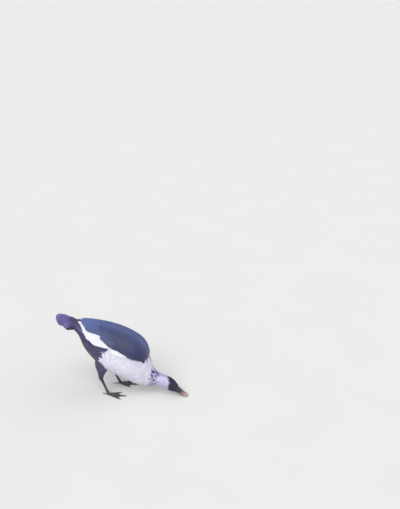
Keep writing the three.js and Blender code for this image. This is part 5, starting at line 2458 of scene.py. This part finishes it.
@dataclass
class Coat:
    """The small feathers of body, neck and head."""

    body: BodyForm
    markings: Markings
    face: Face
    wing: Wing

    def spacing(self, place: float) -> float:
        """Distance between roots in mm.

        Args:
            place: the place along the body.

        Returns:
            The distance.
        """
        return float(
            np.interp(
                place, [-2, 0, 3, 7, 8.5, 9.5, 11, 12.5, 13.3, 14, 15],
                [6, 6.6, 7.4, 7.4, 6.6, 5.2, 3.9, 2.9, 2.1, 1.7, 1.5],
            )
        )

    def guide(self) -> Guide:
        """The body's outer form, carried past the belly's seam on both sides."""
        return Guide("body_lie", (-2.0, 15.0), (-216.0, 216.0), self.body.point, rows=420, columns=300)

    def hidden(self, place: Array, side: Array) -> Array:
        """Whether a root lies well below the folded wings and the mantle.

        Args:
            place: places along the body.
            side: angles from the back, without a sign.

        Returns:
            Truth values.
        """
        share = (self.wing.front - place) / (self.wing.front - self.wing.back)
        low = np.interp(share, np.linspace(0, 1, len(self.wing.low)), self.wing.low)
        return (place > 3.0) & (place < 8.5) & (side < low - 14)

    def feathers(self, guide: Guide) -> Feathers:
        """Every contour feather.

        Args:
            guide: the surface that they lie on.

        Returns:
            The feathers.
        """
        a, b, gap = shingle(guide, 14.97, -0.75, self.spacing, 91)
        side = np.abs(b)
        bare = self.face.bareness(a, b) > 0.3
        keep = (side <= 180) & ~self.hidden(a, side) & ~bare
        a, b, gap, side = a[keep], b[keep], gap[keep], side[keep]
        draw = np.random.default_rng(92)
        count = len(a)
        places = [-2, 0, 3, 8, 9.5, 12, 13.3, 14, 15]
        depth = np.interp(a, places, [0.7, 0.9, 1.0, 1.0, 0.9, 0.7, 0.45, 0.4, 0.3])
        share = (self.wing.front - a) / (self.wing.front - self.wing.back)
        low = np.interp(share, np.linspace(0, 1, len(self.wing.low)), self.wing.low)
        edge = bell(side, low + 3, 8) * np.clip((a - 3.2) * 2, 0, 1) * np.clip((8.9 - a) * 3, 0, 1)
        shoulder = bell(a, 8.9, 0.35) * bell(side, 42, 22)
        depth = depth + self.body.taper(a)
        tip = draw.uniform(0, 0.12, count) - self.body.taper(a) + 3.2 * edge + 2.6 * shoulder
        rise = np.stack([-depth, tip, draw.normal(0, 0.04, count) * gap / 4], -1)
        vent = (a < 4.1) & (side > 60)
        slim = np.interp(a, [8, 9.8, 12, 14], [0.92, 0.78, 0.64, 0.62])
        length = gap * np.where(vent, 2.9, 2.6) / slim * draw.uniform(0.93, 1.1, count)
        drift = draw.normal(0, 4, count) + np.sign(b) * np.where(a < 8.4, -10 * edge, 0)
        blank = np.zeros((count, 3))
        found = Feathers.lying(guide, a, b, length, gap * 0.7 * slim, drift, rise, blank, 3, 93)
        colour = self.markings.body(*found.shown()) * draw.uniform(0.96, 1.03, (count, 1))
        dark = colour.mean(1) < 0.2
        colour[dark] *= draw.uniform(0.86, 1.14, (int(dark.sum()), 1))
        found.colour = colour.clip(0, 1)
        return found

    def crest(self, guide: Guide) -> Feathers:
        """Longer, loose feathers on crown and nape.

        Args:
            guide: the surface that they lie on.

        Returns:
            The feathers.
        """
        draw = np.random.default_rng(94)
        count = 190
        a = draw.uniform(12.9, 14.5, count)
        b = draw.normal(0, 13, count).clip(-32, 32)
        tips, tilts = draw.uniform(0.5, 2.6, count), draw.normal(0, 0.25, count)
        rise = np.stack([np.full(count, -0.5), tips, tilts], -1)
        colour = self.markings.body(a, b) * draw.uniform(0.8, 1.3, (count, 1))
        return Feathers.lying(
            guide, a, b, draw.uniform(8, 15, count), draw.uniform(0.8, 1.5, count),
            draw.normal(0, 9, count) + b * 0.3,
            rise, colour.clip(0, 1), 3, 95,
        )

    def build(
        self, bench: FeatherBench, guide: Guide, surface: Object, finishes: Finishes
    ) -> dict[Zone, Object]:
        """Makes the coat as one piece for each zone.

        Args:
            bench: lays the feathers.
            guide: the surface that they lie on.
            surface: the guide's mesh.
            finishes: the plumage's finishes.

        Returns:
            The pieces by zone.
        """
        every = self.feathers(guide)
        place, angle = every.root[:, 0], np.abs(every.root[:, 1])
        pale = every.colour.mean(1) > 0.3
        loose = (place < 4.2) & (angle > 60) & ~pale
        made = {}
        for zone, side in ((Zone.PALE_LEFT, every.root[:, 1] >= 0), (Zone.PALE_RIGHT, every.root[:, 1] < 0)):
            there = every.where((place < 9.6) & pale & side)
            made[zone] = bench.lay(zone.value, guide, surface, there, Vane.CONTOUR, finishes[Plumage.WHITE])
        dark = (place < 9.6) & ~pale
        runs = [
            bench.lay(
                "run", guide, surface, every.where(dark & ~loose), Vane.CONTOUR, finishes[Plumage.DARK]
            ),
            bench.lay("run", guide, surface, every.where(dark & loose), Vane.FLUFF, finishes[Plumage.DARK]),
        ]
        made[Zone.DARK_BODY] = joined(Zone.DARK_BODY.value, runs)
        neck = every.where((place >= 9.6) & (place < 13.2))
        made[Zone.NECK] = bench.lay(
            Zone.NECK.value, guide, surface, neck, Vane.SMALL, finishes[Plumage.MOTTLED]
        )
        runs = [
            bench.lay("run", guide, surface, every.where(place >= 13.2), Vane.TUFT, finishes[Plumage.TUFT]),
            bench.lay("run", guide, surface, self.crest(guide), Vane.FLUFF, finishes[Plumage.TUFT]),
        ]
        made[Zone.HEAD] = joined(Zone.HEAD.value, runs)
        return made


@dataclass
class Caruncles:
    """Small fleshy warts round the eye and at the bill's root."""

    body: BodyForm
    face: Face
    count: int = 2400

    def shapes(self) -> bpy.types.Collection:
        """A few lumpy warts to copy.

        Returns:
            The collection that holds them.
        """
        group = bpy.data.collections.new("warts")
        for k in range(3):
            graph = bmesh.new()
            bmesh.ops.create_icosphere(graph, subdivisions=2, radius=1.0)
            draw = np.random.default_rng(100 + k)
            for vert in graph.verts:
                wave = math.sin(vert.co.x * 4 + k) * math.cos(vert.co.y * 5 - k)
                vert.co *= 1 + 0.1 * wave + 0.04 * draw.normal()
                vert.co.z *= 0.8
            mesh = bpy.data.meshes.new(f"wart_{k}")
            graph.to_mesh(mesh)
            graph.free()
            mesh.shade_smooth()
            group.objects.link(bpy.data.objects.new(f"wart_{k}", mesh))
        return group

    def tree(self) -> Tree:
        """Makes the tree that copies the warts to the points, each turned at random.

        Returns:
            The tree.
        """
        inputs = {"Points": "Geometry", "Warts": "Collection", "Material": "Material", "Seed": "Int"}
        tree, given = begin_tree("set_warts", inputs)
        picks = add_node(
            tree, "GeometryNodeCollectionInfo",
            {"Collection": given["Warts"], "Separate Children": True, "Reset Children": True},
        )
        turn = add_node(
            tree, "FunctionNodeRandomValue", {0: (0, 0, 0), 1: (0.6, 0.6, 6.28), "Seed": given["Seed"]},
            data_type="FLOAT_VECTOR",
        )
        size = add_node(tree, "GeometryNodeInputNamedAttribute", {"Name": "size"}, data_type="FLOAT")
        copies = add_node(
            tree, "GeometryNodeInstanceOnPoints",
            {"Points": given["Points"], "Instance": picks.outputs[0], "Pick Instance": True,
             "Rotation": turn.outputs[0], "Scale": size.outputs[0]},
        )
        end_tree(tree, copies.outputs[0], given["Material"])
        return tree

    def build(self, material: Material) -> Object:
        """Makes the warts on both sides of the face.

        Args:
            material: the finish.

        Returns:
            The piece.
        """
        draw = np.random.default_rng(99)
        place = draw.uniform(13.6, 14.98, self.count)
        angle = draw.uniform(25, 128, self.count) * draw.choice([-1, 1], self.count)
        near = self.face.round_eye(place, angle)[0]
        bare = self.face.bareness(place, angle)
        chance = np.clip(bare, 0, 1) * np.interp(place, [13.6, 14.2, 15], [0.2, 0.5, 0.9])
        chance = chance + 0.8 * (place > 14.8) * (np.abs(angle) < 100)
        keep = (near > 1.45) & (draw.random(self.count) < chance)
        place, angle, near = place[keep], angle[keep], near[keep]
        size = np.interp(place, [13.6, 14.4, 15], [0.45, 0.8, 1.35]) * draw.uniform(0.6, 1.25, len(place))
        size = np.minimum(size, 0.35 + 1.6 * (near - 1.4).clip(0, 1))
        lift = self.face.relief(place, angle) - self.body.taper(place) - size * 0.2
        points = self.body.point(place, angle, lift)
        made = make_mesh("face_caruncles", points, [])
        store(made.data, "size", "FLOAT", size * MM)
        return run_tree(made, self.tree(), {"Warts": self.shapes(), "Material": material, "Seed": 5})


@dataclass
class Studio:
    """The pale floor, the soft light and the camera at the photograph's angle."""

    eye: tuple[float, float, float] = (0.77675, -2.54063, 1.5435)
    yaw: float = -10.353
    pitch: float = 20.1
    focal_pixels: float = 750.0
    frame_pixels: tuple[int, int] = (400, 509)
    floor_colour: str = "d9d8d4"

    def build_floor(self) -> None:
        """A pale matt floor that runs to the horizon."""
        size = 400.0 / MM
        corners = np.array([(-size, -size, 0), (size, -size, 0), (size, size, 0), (-size, size, 0)])
        made = make_mesh("studio_floor", corners, [[0, 1, 2, 3]], smooth=False)
        material, tree, shader = blank_material("pale_matt_floor")
        place = add_node(tree, "ShaderNodeTexCoord").outputs["Object"]
        # Clouds of about 300 mm keep the wide floor from looking flat.
        grain = add_node(tree, "ShaderNodeTexNoise", {"Vector": place, "Scale": 3.0, "Detail": 2.0})
        low, high = (opaque(self.floor_colour, share) for share in (0.98, 1.02))
        clouds = {0: grain.outputs["Fac"], 6: low, 7: high}
        mixed = add_node(tree, "ShaderNodeMix", clouds, data_type="RGBA").outputs[2]
        tree.links.new(mixed, shader.inputs["Base Color"])
        set_constants(shader, {"Roughness": 0.85})
        dressed(made, material)

    def build_lights(self) -> None:
        """A broad key from above, a weaker fill and an even surround."""
        for name, turn, power, spread in (
            ("key_light", (38, 12, -25), 2.3, 50),
            ("fill_light", (55, -20, 120), 0.7, 90),
        ):
            light = bpy.data.lights.new(name, "SUN")
            light.energy, light.angle = power, math.radians(spread)
            lamp = bpy.data.objects.new(name, light)
            lamp.rotation_euler = [math.radians(v) for v in turn]
            bpy.context.scene.collection.objects.link(lamp)
        world = bpy.data.worlds.new("even_surround")
        world.use_nodes = True
        back = world.node_tree.nodes["Background"]
        back.inputs["Color"].default_value = (0.86, 0.89, 0.95, 1)
        back.inputs["Strength"].default_value = 0.62
        bpy.context.scene.world = world

    def build_camera(self) -> None:
        """The camera, with the photograph's height, tilt and framing."""
        camera = bpy.data.cameras.new("photo_camera")
        camera.sensor_width = 36.0
        camera.lens = camera.sensor_width * self.focal_pixels / max(self.frame_pixels)
        made = bpy.data.objects.new("photo_camera", camera)
        made.location = self.eye
        made.rotation_euler = (math.radians(90 - self.pitch), 0, math.radians(-self.yaw))
        bpy.context.scene.collection.objects.link(made)
        bpy.context.scene.camera = made
        bpy.context.scene.view_settings.view_transform = "Standard"


def main() -> None:
    """Builds the duck piece by piece on its frame, and the studio round it."""
    logging.basicConfig(level=logging.INFO, format="%(name)s: %(message)s")
    studio = Studio()
    studio.build_camera()
    studio.build_lights()
    studio.build_floor()

    body, markings = BodyForm(), Markings()
    finishes = {finish: finish.value.build() for finish in Plumage}
    bench = FeatherBench()
    leather, horn, bill_horn, warty = (finish.value.build() for finish in Bare)
    face = Face(body)
    thighs = [Thigh(name, side, body) for name, side in SIDES.items()]

    bill = Bill(body)
    skin = Skin(body, markings).build(face, bill, thighs, finishes[Plumage.DOWN])
    finished(skin, "torso", "neck", "head", "thigh_left", "thigh_right")

    for name, side in SIDES.items():
        finished(face.eye(name, side, EyeFinish().build()), f"eye_{name}", slot=Slot.EYE)
    finished(Caruncles(body, face).build(warty))
    for piece, node in zip(bill.build(bill_horn), ("bill_upper", "bill_lower")):
        finished(piece, node, slot=Slot.BILL)

    wings = {name: Wing(name, side, body, markings) for name, side in SIDES.items()}
    coat = Coat(body, markings, face, wings["left"])
    guide = coat.guide()
    surface = guide.object()
    slots = {
        Zone.PALE_LEFT: Slot.WHITE, Zone.PALE_RIGHT: Slot.WHITE, Zone.DARK_BODY: Slot.DARK,
        Zone.NECK: Slot.MOTTLED, Zone.HEAD: Slot.DARK,
    }
    for zone, piece in coat.build(bench, guide, surface, finishes).items():
        finished(piece, slot=slots[zone])
    for name, wing in wings.items():
        core, dark, white = wing.build(bench, guide, surface, finishes)
        finished(core, slot=Slot.DARK)
        finished(dark, f"wing_{name}", slot=Slot.DARK)
        finished(white, slot=Slot.WHITE)
    bpy.data.objects.remove(surface)
    finished(Mantle(body, markings).build(bench, finishes), slot=Slot.DARK)
    dark, pale = Tail(body, markings).build(bench, finishes)
    finished(dark, "tail", slot=Slot.DARK)
    finished(pale, slot=Slot.WHITE)
    for thigh in thighs:
        finished(thigh.coat(bench, markings, finishes[Plumage.DARK]), slot=Slot.DARK)
        foot, claws = Leg(thigh).build(leather, horn)
        finished(foot, f"shank_{thigh.name}", f"foot_{thigh.name}", slot=Slot.LEG)
        finished(claws, *(f"claw_{thigh.name}_{n}" for n in Leg(thigh).toes), slot=Slot.CLAW)

    bench.clear()
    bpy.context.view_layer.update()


if __name__ == "__main__":
    main()
